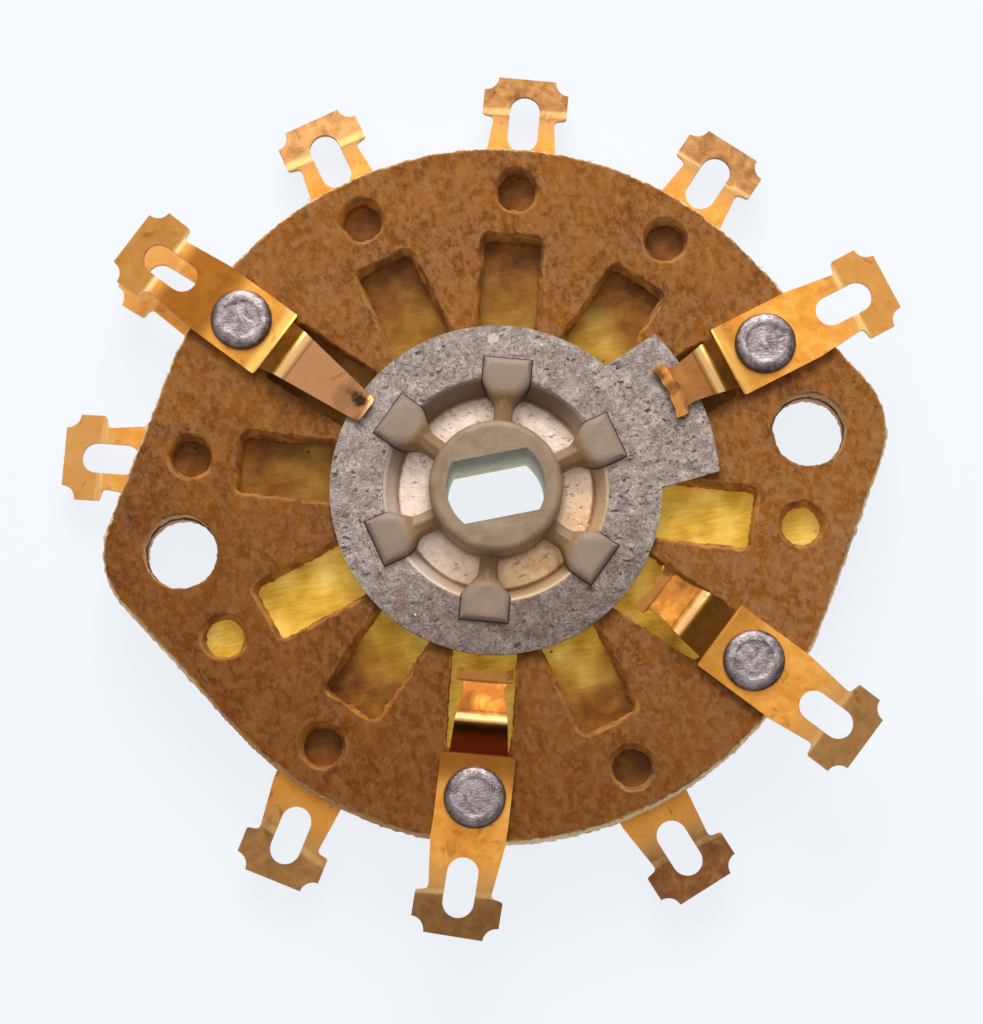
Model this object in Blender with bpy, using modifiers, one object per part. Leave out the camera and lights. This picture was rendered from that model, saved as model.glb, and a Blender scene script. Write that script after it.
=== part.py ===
# One wafer of a rotary switch: a laminated board with spring contact clips riveted to both
# faces, and a rotor whose two contact rings turn between the leaves of the clips.
#
# The wafer lies flat. The origin is on the shaft's axis at the middle of the board, X runs
# through the two mounting holes and Z points out of the front face. The sizes here are in
# millimetres; each finished piece is put into the scene in metres.

import math

import bmesh
import bpy
from mathutils import Matrix

MM = 0.001                  # one millimetre in the scene's metres
MERGE = 0.0001              # points closer than this are one point
SAME_PLANE = 0.003          # radians; faces that turn less than this are one face

# Fits between pieces
SEAT_GAP = 0.03             # between two faces that rest on each other
RIVET_CLEARANCE = 0.08      # shank in its hole, all round
RING_GAP = 0.12             # contact ring over the board's face
LEAF_CLEARANCE = 0.04       # leaf over or under the ring it wipes
LOBE_CLEARANCE = 0.17       # hub lobe in the notch of a ring
NECK_CLEARANCE = 0.08       # neck of a lobe between two inner tabs of a ring
ROTOR_CLEARANCE = 0.5       # hub lobes in the board's hole
POCKET_CLEARANCE = 0.05     # inner tabs of a ring in the hub's pockets

# Hub
SHAFT_DIAMETER = 6.35
SHAFT_FLATS = 4.1           # across the two flats
HUB_WALL = 1.12             # from the round end of the slot to the outside
HUB_STAND = 1.1             # hub's end above its lobes
HUB_ROUNDING = 0.5          # round its two ends
LOBE_COUNT = 6
LOBE_REACH = 4.15           # out from the hub's round body
LOBE_WIDTH = 2.9
LOBE_LENGTH = 1.2           # straight flank at the tip
LOBE_STAND = 0.5            # lobe's face above the ring
LOBE_CHAMFER = 0.25
NECK_WIDTH = 1.2
NECK_DIP = 0.5              # neck's face below the lobe's
NECK_RAMP = 0.9             # length of the slope between the two
FLARE_LENGTH = 1.8          # from the neck out to the full width
ROTOR_ANGLE = 13.5          # degrees from X to the lobe under the front ring's tab
SLOT_TURN = -13.5           # degrees from that lobe to the slot

# Contact rings
RING_THICKNESS = 0.4
RING_RIM = 2.08             # from the notches to the outer edge
DISH_RADIUS = 7.3           # where the inner tabs bend down
DISH_SLOPE = 1.2            # how far in the wall of the dish leans
DISH_LIP_BEND = 0.3
DISH_FOOT_BEND = 1.6
TAB_REACH = 3.75
TAB_TIP_ANGLE = 40.0        # degrees, at the tab's outer edge
TAB_ROOT_ANGLE = 48.0       # degrees, where the tab leaves the ring
POCKET_DEPTH = 0.5          # inner tabs run this far into the hub
REAR_TAB_TURN = 60.0        # degrees from the front tab to the rear one

# Board
LAYER_THICKNESS = 1.6
CORE_THICKNESS = 0.4
EDGE_MARGIN = 2.76          # from the rivets' circle to the board's round edge
MOUNT_SPACING = 41.3
MOUNT_HOLE_RADIUS = 2.3
EAR_WALL = 2.7              # round a mounting hole
WINDOW_WIDTH = 4.05
WINDOW_WEB = 0.75           # from the rotor's hole to the windows
WINDOW_CORNER = 0.3
RIVET_HOLE_RADIUS = 1.42
PLACE_PITCH = 30.0          # degrees between contact places
EAR_PLACE = 17.5            # degrees from X to the places beside the ears

# Clips, measured along the clip
STRIP_THICKNESS = 0.25
SHOULDER_TO_RIVET = 2.74
WINDOW_TO_SHOULDER = 0.3
CREST_TO_WINDOW = 1.7       # from the leaf's crest to the outer end of the window
CREST_TO_TAB = 0.65         # the crest stays outside the ring's tab
CREST_HEIGHT = 1.3          # crest of an outer leaf over the board
VALLEY_DEPTH = 0.8          # valley of an inner leaf below the board's face
SHORT_TIP_OVERLAP = 2.9     # a short leaf reaches this far over the tab
SHORT_CONTACT = 0.9         # from the leaf's tip to where it wipes
LONG_TIP_OVERLAP = 1.0      # the common leaf reaches this far over the ring
LONG_CONTACT = 0.4
OUTER_TIP_FLARE = 0.28      # the tip turns away from the ring
INNER_TIP_FLARE = 0.12
LEAF_BEND = 0.4

# Clips, across the clip
BODY_WIDTH = 4.8
SHOULDER_WIDTH = 3.75
CREST_WIDTH = 3.4
THROAT_WIDTH = 2.6          # behind the tip of a short leaf
TIP_WIDTH = 3.6
TIP_LENGTH = 1.0
TIP_HOLLOW = 0.3            # the end of a short tip is cut hollow
LONG_TIP_WIDTH = 1.8
INNER_LEAF_RATIO = 0.86     # width of the leaf in the window to that of the outer one

# Solder lugs
LUG_REACH = 8.86            # from the rivet to the end
HEAD_LENGTH = 2.6
HEAD_WIDTH = 5.6
HEAD_NIP = 0.9              # hollow corners of the head
NECK_TAPER_START = 2.8      # from the rivet
LUG_NECK_WIDTH = 4.0
LUG_SLOT_START = 3.83       # from the rivet
LUG_SLOT_LENGTH = 3.85
LUG_SLOT_WIDTH = 2.0

# Rivets
RIVET_HEAD_RADIUS = 1.98
RIVET_HEAD_HEIGHT = 0.62
RIVET_FLAT_RADIUS = 1.2
RIVET_EDGE = 0.22           # height of the head's upright edge

# Clips by clock place, as their hand-bent leaves and lugs stand: degrees that the clip is turned
# off its radial line, how far out its crest stands, degrees that its lug is swung sideways, how
# far out the lug stands, and degrees that the lug's head is bent away from the board. Angles
# count anticlockwise, seen from the front.
FRONT_CLIPS = {2: (-1.5, 0.9, 0.0, 0.0, 9.0), 4: (-3.0, 0.0, 0.0, 0.0, -6.0),
               6: (-1.0, 0.0, -4.2, 0.0, -12.0), 10: (-2.5, 0.8, 0.0, 0.0, 14.0)}
REAR_CLIPS = {1: (1.0, 0.0, 0.0, -0.2, 8.0), 5: (0.5, 0.0, 5.5, 0.15, -5.0),
              7: (-1.0, 0.0, 13.0, 0.2, 4.0), 9: (0.0, 0.0, 2.0, -0.2, 6.0),
              10: (1.5, 0.8, 0.0, 0.0, 3.0), 11: (-1.0, 0.0, 0.0, -0.45, 10.0),
              12: (0.5, 0.0, -2.0, -0.4, 5.0)}
COMMON_PLACE = 10

# Worked out from the values above
HUB_RADIUS = SHAFT_DIAMETER / 2 + HUB_WALL
LOBE_RADIUS = HUB_RADIUS + LOBE_REACH
NOTCH_RADIUS = LOBE_RADIUS + LOBE_CLEARANCE
RING_RADIUS = NOTCH_RADIUS + RING_RIM
TAB_RADIUS = RING_RADIUS + TAB_REACH
CREST_RADIUS = TAB_RADIUS + CREST_TO_TAB
ROTOR_HOLE_RADIUS = LOBE_RADIUS + ROTOR_CLEARANCE
WINDOW_INNER = ROTOR_HOLE_RADIUS + WINDOW_WEB
WINDOW_OUTER = CREST_RADIUS + CREST_TO_WINDOW
SHOULDER_RADIUS = WINDOW_OUTER + WINDOW_TO_SHOULDER
RIVET_CIRCLE = SHOULDER_RADIUS + SHOULDER_TO_RIVET
DISC_RADIUS = RIVET_CIRCLE + EDGE_MARGIN
EAR_RADIUS = MOUNT_HOLE_RADIUS + EAR_WALL
LAYER_BOTTOM = CORE_THICKNESS / 2 + SEAT_GAP
BOARD_FACE = LAYER_BOTTOM + LAYER_THICKNESS
RING_BOTTOM = BOARD_FACE + RING_GAP
RING_TOP = RING_BOTTOM + RING_THICKNESS
LOBE_TOP = RING_TOP + LOBE_STAND
HUB_TOP = LOBE_TOP + HUB_STAND
TAB_INNER = HUB_RADIUS - POCKET_DEPTH

# Roughness, metallic value and colour of each finish
FINISHES = {
    "phenolic": (0.65, 0.0, (0.30, 0.13, 0.04)),
    "core": (0.45, 0.0, (0.62, 0.48, 0.10)),
    "brass": (0.32, 1.0, (0.72, 0.42, 0.14)),
    "rivet": (0.40, 1.0, (0.45, 0.42, 0.44)),
    "silver": (0.48, 1.0, (0.50, 0.47, 0.44)),
    "moulding": (0.55, 0.0, (0.36, 0.29, 0.23)),
}


def new_collection(name):
    """A collection linked to the scene."""
    collection = bpy.data.collections.new(name)
    bpy.context.scene.collection.children.link(collection)
    return collection


def new_material(name, roughness, metallic, colour):
    """A Principled material of one colour."""
    material = bpy.data.materials.new(name)
    material.use_nodes = True
    shader = material.node_tree.nodes["Principled BSDF"]
    shader.inputs["Base Color"].default_value = (*colour, 1.0)
    shader.inputs["Roughness"].default_value = roughness
    shader.inputs["Metallic"].default_value = metallic
    return material


def arc(centre, radius, start, end, steps):
    """Points on an arc, both ends included, with its angles in degrees."""
    turn = math.radians(end - start) / steps
    angles = [math.radians(start) + turn * step for step in range(steps + 1)]
    return [(centre[0] + radius * math.cos(a), centre[1] + radius * math.sin(a)) for a in angles]


def circle(centre, radius, steps):
    """Points round a circle."""
    return arc(centre, radius, 0, 360, steps)[:-1]


def turned_by(points, degrees):
    """The points turned round the origin."""
    c, s = math.cos(math.radians(degrees)), math.sin(math.radians(degrees))
    return [(x * c - y * s, x * s + y * c) for x, y in points]


def mirrored(half):
    """An outline from its half with y above zero: the half and its mirror image."""
    return half + [(x, -y) for x, y in reversed(half) if y > 0]


def rounded(corners, radius, steps=3, closed=True):
    """The outline through these corners with each of them rounded to an arc."""
    result = []
    for i, corner in enumerate(corners):
        if not closed and i in (0, len(corners) - 1):
            result.append(corner)
            continue
        before, after = corners[i - 1], corners[(i + 1) % len(corners)]
        length_in, length_out = math.dist(corner, before), math.dist(corner, after)
        ux, uy = (before[0] - corner[0]) / length_in, (before[1] - corner[1]) / length_in
        vx, vy = (after[0] - corner[0]) / length_out, (after[1] - corner[1]) / length_out
        half_angle = math.acos(max(-1.0, min(1.0, ux * vx + uy * vy))) / 2
        tangent = min(radius / math.tan(half_angle), 0.45 * length_in, 0.45 * length_out)
        for step in range(steps + 1):
            share = step / steps
            a, b = (1 - share) ** 2 * tangent, share ** 2 * tangent
            result.append((corner[0] + a * ux + b * vx, corner[1] + a * uy + b * vy))
    return result


def sheet_section(path, thickness):
    """The outline of a bent sheet whose middle line is the path, mitred at each bend."""
    headings = [math.atan2(z1 - z0, x1 - x0) for (x0, z0), (x1, z1) in zip(path, path[1:])]
    left, right = [], []
    for (x, z), before, after in zip(path, headings[:1] + headings, headings + headings[-1:]):
        bend = (after - before + math.pi) % (2 * math.pi) - math.pi
        across = before + bend / 2 + math.pi / 2
        offset = thickness / 2 / math.cos(bend / 2)
        dx, dz = math.cos(across) * offset, math.sin(across) * offset
        left.append((x + dx, z + dz))
        right.append((x - dx, z - dz))
    return left + right[::-1]


def as_mesh(source, name):
    """The evaluated shape of an object as a closed mesh object in world space."""
    bpy.context.scene.collection.objects.link(source)
    bpy.context.view_layer.update()
    evaluated = source.evaluated_get(bpy.context.evaluated_depsgraph_get())
    mesh = bpy.data.meshes.new_from_object(evaluated)
    work = bmesh.new()
    work.from_mesh(mesh)
    bmesh.ops.transform(work, matrix=source.matrix_world, verts=work.verts)
    bmesh.ops.remove_doubles(work, verts=work.verts, dist=MERGE)
    bmesh.ops.recalc_face_normals(work, faces=work.faces)
    bmesh.ops.dissolve_limit(work, angle_limit=SAME_PLANE, verts=work.verts, edges=work.edges)
    work.to_mesh(mesh)
    work.free()
    mesh.name = name
    bpy.data.objects.remove(source)
    return bpy.data.objects.new(name, mesh)


def plate(name, outlines, bottom, top):
    """A flat sheet from closed outlines; those inside another are its holes."""
    curve = bpy.data.curves.new(name, "CURVE")
    curve.dimensions = "2D"
    curve.fill_mode = "BOTH"
    curve.extrude = (top - bottom) / 2
    for outline in outlines:
        spline = curve.splines.new("POLY")
        spline.points.add(len(outline) - 1)
        for point, (x, y) in zip(spline.points, outline):
            point.co = (x, y, 0, 1)
        spline.use_cyclic_u = True
    flat = bpy.data.objects.new(name, curve)
    flat.location.z = (bottom + top) / 2
    return as_mesh(flat, name)


def bent_strip(name, path, thickness, width):
    """A strip bent along a path of x and z, with its width along Y."""
    curve = bpy.data.curves.new(name, "CURVE")
    curve.dimensions = "2D"
    curve.fill_mode = "BOTH"
    curve.extrude = width / 2
    outline = sheet_section(path, thickness)
    spline = curve.splines.new("POLY")
    spline.points.add(len(outline) - 1)
    for point, (x, z) in zip(spline.points, outline):
        point.co = (x, z, 0, 1)
    spline.use_cyclic_u = True
    strip = bpy.data.objects.new(name, curve)
    strip.rotation_euler.x = math.pi / 2
    return as_mesh(strip, name)


def turned(name, profile, steps):
    """A round piece: a profile of radius and height, listed from the top down, turned about Z."""
    mesh = bpy.data.meshes.new(name)
    mesh.from_pydata([(r, 0, z) for r, z in profile],
                     [(i, i + 1) for i in range(len(profile) - 1)], [])
    blank = bpy.data.objects.new(name, mesh)
    screw = blank.modifiers.new("Turn", "SCREW")
    screw.steps = screw.render_steps = steps
    screw.use_merge_vertices = True
    screw.merge_threshold = MERGE
    return as_mesh(blank, name)


def both_ends(profile):
    """A profile from its upper half: the half and its mirror image below."""
    return profile + [(r, -z) for r, z in reversed(profile)]


def combine(first, second, operation):
    """Two mesh objects combined into one by a Boolean; the second is used up."""
    bpy.context.scene.collection.objects.link(second)
    boolean = first.modifiers.new(operation.title(), "BOOLEAN")
    boolean.operation = operation
    boolean.object = second
    result = as_mesh(first, first.name)
    bpy.data.objects.remove(second)
    return result


def place_angle(place):
    """The direction of a clock place from the shaft, in degrees from X."""
    angle = 90 - PLACE_PITCH / 2 - PLACE_PITCH * (place % 12)
    angle = (angle + 180) % 360 - 180
    beside_ear = {PLACE_PITCH / 2: EAR_PLACE, -PLACE_PITCH / 2: -EAR_PLACE,
                  180 - PLACE_PITCH / 2: 180 - EAR_PLACE, PLACE_PITCH / 2 - 180: EAR_PLACE - 180}
    return beside_ear.get(angle, angle)


def board_outline():
    """The disc and its two ears, joined by the tangents from the one to the other."""
    ear_x = MOUNT_SPACING / 2
    lean = math.degrees(math.acos((DISC_RADIUS - EAR_RADIUS) / ear_x))
    return (arc((0, 0), DISC_RADIUS, lean, 180 - lean, 22)
            + arc((-ear_x, 0), EAR_RADIUS, 180 - lean, 180 + lean, 8)
            + arc((0, 0), DISC_RADIUS, 180 + lean, 360 - lean, 22)
            + arc((ear_x, 0), EAR_RADIUS, -lean, lean, 8))


def mounting_and_rotor_holes():
    """The holes that go through all three sheets of the board."""
    ear_x = MOUNT_SPACING / 2
    return [circle((0, 0), ROTOR_HOLE_RADIUS, 32),
            circle((ear_x, 0), MOUNT_HOLE_RADIUS, 18), circle((-ear_x, 0), MOUNT_HOLE_RADIUS, 18)]


def board_layer(name, bottom):
    """An outer sheet of the board, pierced for the clips at all twelve places."""
    window = rounded([(WINDOW_INNER, -WINDOW_WIDTH / 2), (WINDOW_OUTER, -WINDOW_WIDTH / 2),
                      (WINDOW_OUTER, WINDOW_WIDTH / 2), (WINDOW_INNER, WINDOW_WIDTH / 2)],
                     WINDOW_CORNER, steps=1)
    holes = mounting_and_rotor_holes()
    for place in range(1, 13):
        angle = place_angle(place)
        holes.append(turned_by(window, angle))
        holes.append(turned_by(circle((RIVET_CIRCLE, 0), RIVET_HOLE_RADIUS, 10), angle))
    return plate(name, [board_outline()] + holes, bottom, bottom + LAYER_THICKNESS)


def core_sheet():
    """The thin sheet between the layers, which closes their windows and rivet holes."""
    outlines = [board_outline()] + mounting_and_rotor_holes()
    return plate("core_sheet", outlines, -CORE_THICKNESS / 2, CORE_THICKNESS / 2)


def lug_half():
    """Half the outline of a solder lug, from its body at the rivet to the end of its head."""
    head = HEAD_WIDTH / 2
    head_start = LUG_REACH - HEAD_LENGTH
    return ([(NECK_TAPER_START, BODY_WIDTH / 2), (head_start, LUG_NECK_WIDTH / 2),
             (head_start, head)] + arc((LUG_REACH, head), HEAD_NIP, 180, 270, 2))


def leaf_half(common, tip, crest, ratio):
    """Half the outline of a leaf: the common one tapers, the others end in a hollow hammer tip."""
    half = [(-SHOULDER_TO_RIVET, BODY_WIDTH / 2), (-SHOULDER_TO_RIVET, SHOULDER_WIDTH / 2 * ratio),
            (crest, CREST_WIDTH / 2 * ratio)]
    if common:
        return half + [(tip, LONG_TIP_WIDTH / 2 * ratio)]
    wide = TIP_WIDTH / 2 * ratio
    hollow = [(tip + TIP_HOLLOW * (1 - share ** 2), wide * share) for share in (0.7, 0.3)]
    return half + [(tip + 1.5 * TIP_LENGTH, THROAT_WIDTH / 2 * ratio), (tip + TIP_LENGTH, wide),
                   (tip, wide)] + hollow


def leaf_path(outer, tip, contact, crest, lug_end, head_bend):
    """The middle line of a strip: lug, flat body on the board, and the bent leaf."""
    level = SEAT_GAP + STRIP_THICKNESS / 2
    fold = lug_end - HEAD_LENGTH
    lift = (HEAD_LENGTH + STRIP_THICKNESS) * math.tan(math.radians(head_bend))
    if outer:
        level += SEAT_GAP + STRIP_THICKNESS
        crest_level = CREST_HEIGHT
        wipe_level = RING_TOP + LEAF_CLEARANCE + STRIP_THICKNESS / 2 - BOARD_FACE
        flare, start = OUTER_TIP_FLARE, -SHOULDER_TO_RIVET
    else:
        crest_level = -VALLEY_DEPTH
        wipe_level = RING_BOTTOM - LEAF_CLEARANCE - STRIP_THICKNESS / 2 - BOARD_FACE
        flare, start = -INNER_TIP_FLARE, -SHOULDER_TO_RIVET - WINDOW_TO_SHOULDER - STRIP_THICKNESS / 2
    corners = [(lug_end + STRIP_THICKNESS, level + lift), (fold, level), (start, level),
               (crest, crest_level), (contact, wipe_level),
               (tip - STRIP_THICKNESS, wipe_level + flare)]
    return rounded(corners, LEAF_BEND, steps=1, closed=False)


def clip_leaf(name, outer, common, stance):
    """One of the two strips of a clip, with its rivet at the origin and its lug along +X."""
    crest_out, swing, lug_out, head_bend = stance
    crest = CREST_RADIUS + crest_out - RIVET_CIRCLE
    if common:
        tip = RING_RADIUS - LONG_TIP_OVERLAP - RIVET_CIRCLE
        contact = tip + LONG_CONTACT
    else:
        tip = TAB_RADIUS - SHORT_TIP_OVERLAP + crest_out - RIVET_CIRCLE
        contact = tip + SHORT_CONTACT
    end = LUG_SLOT_WIDTH / 2
    slot = (arc((LUG_SLOT_START + end, 0), end, 90, 270, 3)
            + arc((LUG_SLOT_START + LUG_SLOT_LENGTH - end, 0), end, -90, 90, 3))
    slot, lug = [turned_by([(x + lug_out, y) for x, y in outline], swing)
                 for outline in (slot, mirrored(lug_half()))]
    leaf = mirrored(leaf_half(common, tip, crest, 1 if outer else INNER_LEAF_RATIO))
    strip = bent_strip(name, leaf_path(outer, tip, contact, crest, LUG_REACH + lug_out, head_bend),
                       STRIP_THICKNESS, 2 * HEAD_WIDTH)
    blank = plate(name, [lug + leaf[::-1], slot, circle((0, 0), RIVET_HOLE_RADIUS, 10)],
                  -LUG_REACH, LUG_REACH)
    return combine(strip, blank, "INTERSECT")


def rivet(name):
    """A rivet with a flattened head, through both strips and the layer under them."""
    seat = 3 * SEAT_GAP + 2 * STRIP_THICKNESS
    top = seat + RIVET_HEAD_HEIGHT
    shank = RIVET_HOLE_RADIUS - RIVET_CLEARANCE
    middle = (RIVET_FLAT_RADIUS + RIVET_HEAD_RADIUS) / 2
    crown = (RIVET_HEAD_HEIGHT - RIVET_EDGE) * 0.2
    return turned(name, [(0, top), (RIVET_FLAT_RADIUS, top), (middle, top - crown),
                         (RIVET_HEAD_RADIUS, seat + RIVET_EDGE), (RIVET_HEAD_RADIUS, seat),
                         (shank, seat), (shank, -LAYER_THICKNESS), (0, -LAYER_THICKNESS)], 12)


def star_outline(root_radius, clearance, neck_clearance):
    """The bell-shaped lobes on their necks, grown by clearances, on arcs of the root radius."""
    neck = NECK_WIDTH / 2 + neck_clearance
    flank = LOBE_WIDTH / 2 + clearance
    flare_start = LOBE_RADIUS - LOBE_LENGTH - FLARE_LENGTH - clearance
    half = [(LOBE_RADIUS + clearance, flank)]
    for share in (1.0, 0.65, 0.3, 0.0):
        half.append((flare_start + share * FLARE_LENGTH,
                     neck + (flank - neck) * share ** 2 * (3 - 2 * share)))
    root = math.degrees(math.asin(neck / root_radius))
    pitch = 360 / LOBE_COUNT
    points = []
    for index in range(LOBE_COUNT):
        lobe = [(x, -y) for x, y in reversed(half)] + half
        points += turned_by(lobe + arc((0, 0), root_radius, root, pitch - root, 3), index * pitch)
    return points


def ring_outline():
    """The round edge of a contact ring with its flared tab, which is centred on X."""
    tip, root = TAB_TIP_ANGLE / 2, TAB_ROOT_ANGLE / 2
    return arc((0, 0), TAB_RADIUS, -tip, tip, 6) + arc((0, 0), RING_RADIUS, root, 360 - root, 42)


def contact_ring(name):
    """A front ring: flat rim with a tab, and inner tabs dished to the middle of the board."""
    flat = (RING_BOTTOM + RING_TOP) / 2
    floor = (SEAT_GAP + RING_THICKNESS) / 2
    foot, lip = (DISH_RADIUS - DISH_SLOPE, floor), (DISH_RADIUS, flat)
    path = (rounded([(TAB_INNER, floor), foot, lip], DISH_FOOT_BEND, 2, closed=False)[:-1]
            + rounded([foot, lip, (TAB_RADIUS + RING_THICKNESS, flat)],
                      DISH_LIP_BEND, 1, closed=False)[1:])
    section = sheet_section(path, RING_THICKNESS)
    blank = turned(name, section + section[:1], 36)
    outlines = [ring_outline(), star_outline(TAB_INNER, LOBE_CLEARANCE, NECK_CLEARANCE)]
    return combine(blank, plate(name, outlines, -RING_TOP, 2 * RING_TOP), "INTERSECT")


def inner_tab_pockets():
    """Six plates, a little larger than the rings' inner tabs, that cut their pockets."""
    inner = TAB_INNER - POCKET_CLEARANCE
    side = NECK_WIDTH / 2 + NECK_CLEARANCE - POCKET_CLEARANCE
    pitch = 360 / LOBE_COUNT
    outlines = []
    for index in range(LOBE_COUNT):
        near = math.degrees(math.asin(side / inner))
        far = math.degrees(math.asin(side / (HUB_RADIUS + LOBE_CLEARANCE)))
        sector = (arc((0, 0), inner, pitch - near, near, 3)
                  + arc((0, 0), HUB_RADIUS + LOBE_CLEARANCE, far, pitch - far, 3))
        outlines.append(turned_by(sector, index * pitch))
    height = SEAT_GAP / 2 + RING_THICKNESS + POCKET_CLEARANCE
    return plate("pockets", outlines, -height, height)


def shaft_slot():
    """The slot for a round shaft with two flats."""
    lean = math.degrees(math.asin(SHAFT_FLATS / SHAFT_DIAMETER))
    radius = SHAFT_DIAMETER / 2
    outline = arc((0, 0), radius, -lean, lean, 6) + arc((0, 0), radius, 180 - lean, 180 + lean, 6)
    return plate("slot", [turned_by(outline, SLOT_TURN)], -2 * HUB_TOP, 2 * HUB_TOP)


def rotor_hub():
    """The moulded hub: a round body, its lobes with soft edges, the slot and the pockets."""
    shoulder = arc((HUB_RADIUS - HUB_ROUNDING, HUB_TOP - HUB_ROUNDING), HUB_ROUNDING, 90, 0, 2)
    body = turned("rotor_hub", both_ends([(0, HUB_TOP)] + shoulder), 36)
    pad = LOBE_RADIUS - LOBE_LENGTH - FLARE_LENGTH / 2
    lobes = turned("lobes", both_ends([(0, LOBE_TOP - NECK_DIP),
                                       (pad - NECK_RAMP, LOBE_TOP - NECK_DIP), (pad, LOBE_TOP),
                                       (LOBE_RADIUS + LOBE_REACH, LOBE_TOP)]), 36)
    star = plate("star", [star_outline(HUB_RADIUS - POCKET_DEPTH, 0, 0)], -HUB_TOP, HUB_TOP)
    lobes = combine(lobes, star, "INTERSECT")
    soften = lobes.modifiers.new("Soft edges", "BEVEL")
    soften.width = LOBE_CHAMFER
    soften.limit_method = "ANGLE"
    soften.angle_limit = math.radians(60)
    hub = combine(body, as_mesh(lobes, "lobes"), "UNION")
    hub = combine(hub, shaft_slot(), "DIFFERENCE")
    return combine(hub, inner_tab_pockets(), "DIFFERENCE")


def add(piece, collection, finish, parent=None, matrix=None):
    """Puts a finished piece in the collection, in metres, with its material and its place."""
    piece.data.transform(Matrix.Scale(MM, 4))
    piece.data.materials.clear()
    piece.data.materials.append(finish)
    piece.data.shade_smooth()
    piece.data.set_sharp_from_angle(angle=math.radians(30))
    collection.objects.link(piece)
    piece.parent = parent
    if matrix is not None:
        piece.matrix_local = matrix


def add_empty(name, collection, matrix):
    """An empty that carries the pieces of one assembly."""
    empty = bpy.data.objects.new(name, None)
    empty.empty_display_size = RIVET_HEAD_RADIUS * MM
    collection.objects.link(empty)
    empty.matrix_world = matrix
    return empty


def add_clips(face, clips, collection, finishes):
    """The clips of one face of the board, each on an empty at its rivet."""
    side = 1 if face == "front" else -1
    for place, (turn, crest_out, swing, lug_out, head_bend) in clips.items():
        angle = math.radians(place_angle(place))
        seat = (RIVET_CIRCLE * math.cos(angle), RIVET_CIRCLE * math.sin(angle), side * BOARD_FACE)
        matrix = (Matrix.Translation([MM * distance for distance in seat])
                  @ Matrix.Rotation(angle + math.radians(turn), 4, "Z"))
        if face == "rear":
            matrix = matrix @ Matrix.Rotation(math.pi, 4, "X")
        name = f"{face}_clip_{place:02d}"
        empty = add_empty(name + "_place", collection, matrix)
        common = place == COMMON_PLACE
        stance = (crest_out, side * swing, lug_out, head_bend)
        add(clip_leaf(name + "_outer_leaf", True, common, stance),
            collection, finishes["brass"], empty)
        add(clip_leaf(name + "_inner_leaf", False, common, stance),
            collection, finishes["brass"], empty)
        add(rivet(name + "_rivet"), collection, finishes["rivet"], empty)


def build():
    for old in list(bpy.data.objects):
        bpy.data.objects.remove(old)
    collection = new_collection("wafer_rotary_switch")
    finishes = {name: new_material(name, *values) for name, values in FINISHES.items()}

    add(board_layer("front_board_layer", LAYER_BOTTOM), collection, finishes["phenolic"])
    add(core_sheet(), collection, finishes["core"])
    add(board_layer("rear_board_layer", -BOARD_FACE), collection, finishes["phenolic"])
    add_clips("front", FRONT_CLIPS, collection, finishes)
    add_clips("rear", REAR_CLIPS, collection, finishes)

    turn = Matrix.Rotation(math.radians(ROTOR_ANGLE), 4, "Z")
    rotor = add_empty("rotor_axis", collection, turn)
    add(rotor_hub(), collection, finishes["moulding"], rotor)
    add(contact_ring("front_contact_ring"), collection, finishes["silver"], rotor)
    over = Matrix.Rotation(math.radians(REAR_TAB_TURN), 4, "Z") @ Matrix.Rotation(math.pi, 4, "X")
    add(contact_ring("rear_contact_ring"), collection, finishes["silver"], rotor, over)


build()
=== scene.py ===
# The looks of the wafer rotary switch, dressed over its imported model.
#
# Pieces are made in millimetres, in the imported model's frame: the origin on the shaft's axis at
# the middle of the board, X through the two mounting holes and Z out of the front face. Each
# finished piece is put into the scene in metres.

import math

import bmesh
import bpy
import numpy as np
from mathutils import Matrix, Vector, geometry, noise


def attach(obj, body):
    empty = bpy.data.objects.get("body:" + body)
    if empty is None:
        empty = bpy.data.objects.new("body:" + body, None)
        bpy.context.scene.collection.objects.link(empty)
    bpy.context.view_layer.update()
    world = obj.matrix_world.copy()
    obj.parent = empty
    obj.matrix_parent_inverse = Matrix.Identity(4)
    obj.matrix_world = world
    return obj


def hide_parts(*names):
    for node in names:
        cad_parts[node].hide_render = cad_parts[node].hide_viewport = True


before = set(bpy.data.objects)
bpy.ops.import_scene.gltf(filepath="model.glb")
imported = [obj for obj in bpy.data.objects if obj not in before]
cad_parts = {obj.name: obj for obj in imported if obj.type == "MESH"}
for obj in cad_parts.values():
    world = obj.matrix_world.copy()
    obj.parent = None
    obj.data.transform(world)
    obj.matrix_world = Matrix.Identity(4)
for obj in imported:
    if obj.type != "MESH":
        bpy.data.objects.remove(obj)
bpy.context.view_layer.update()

MM = 0.001
MERGE = 0.0001

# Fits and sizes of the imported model
SEAT_GAP = 0.03
RIVET_CLEARANCE = 0.08
LOBE_CLEARANCE = 0.17
NECK_CLEARANCE = 0.08
POCKET_CLEARANCE = 0.05
HUB_RADIUS = 4.295
HUB_ROUNDING = 0.5
HUB_TOP = 3.95
SHAFT_RADIUS = 3.175
SHAFT_FLATS = 4.1
LOBE_COUNT = 6
LOBE_RADIUS = 8.445
LOBE_WIDTH = 2.9
LOBE_LENGTH = 1.2
LOBE_TOP = 2.85
LOBE_SOFTNESS = 0.45
LOBE_GROWTH = 0.11
LOBE_HALF_POINTS = 11
PAD_START = 6.345
WEB_REACH = 1.6
WEB_INNER = 7.45
WEB_OUTER = 8.7
WEB_HALF_HEIGHT = 1.1
WEB_FOOT = (6.85, 0.2)
WEB_MARGIN = 0.3
NECK_WIDTH = 1.2
NECK_DIP = 0.5
NECK_RAMP = 0.9
FLARE_LENGTH = 1.8
ROTOR_ANGLE = 13.5
SLOT_TURN = -13.5
REAR_TAB_TURN = 60.0
RING_BOTTOM = 1.95
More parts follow.
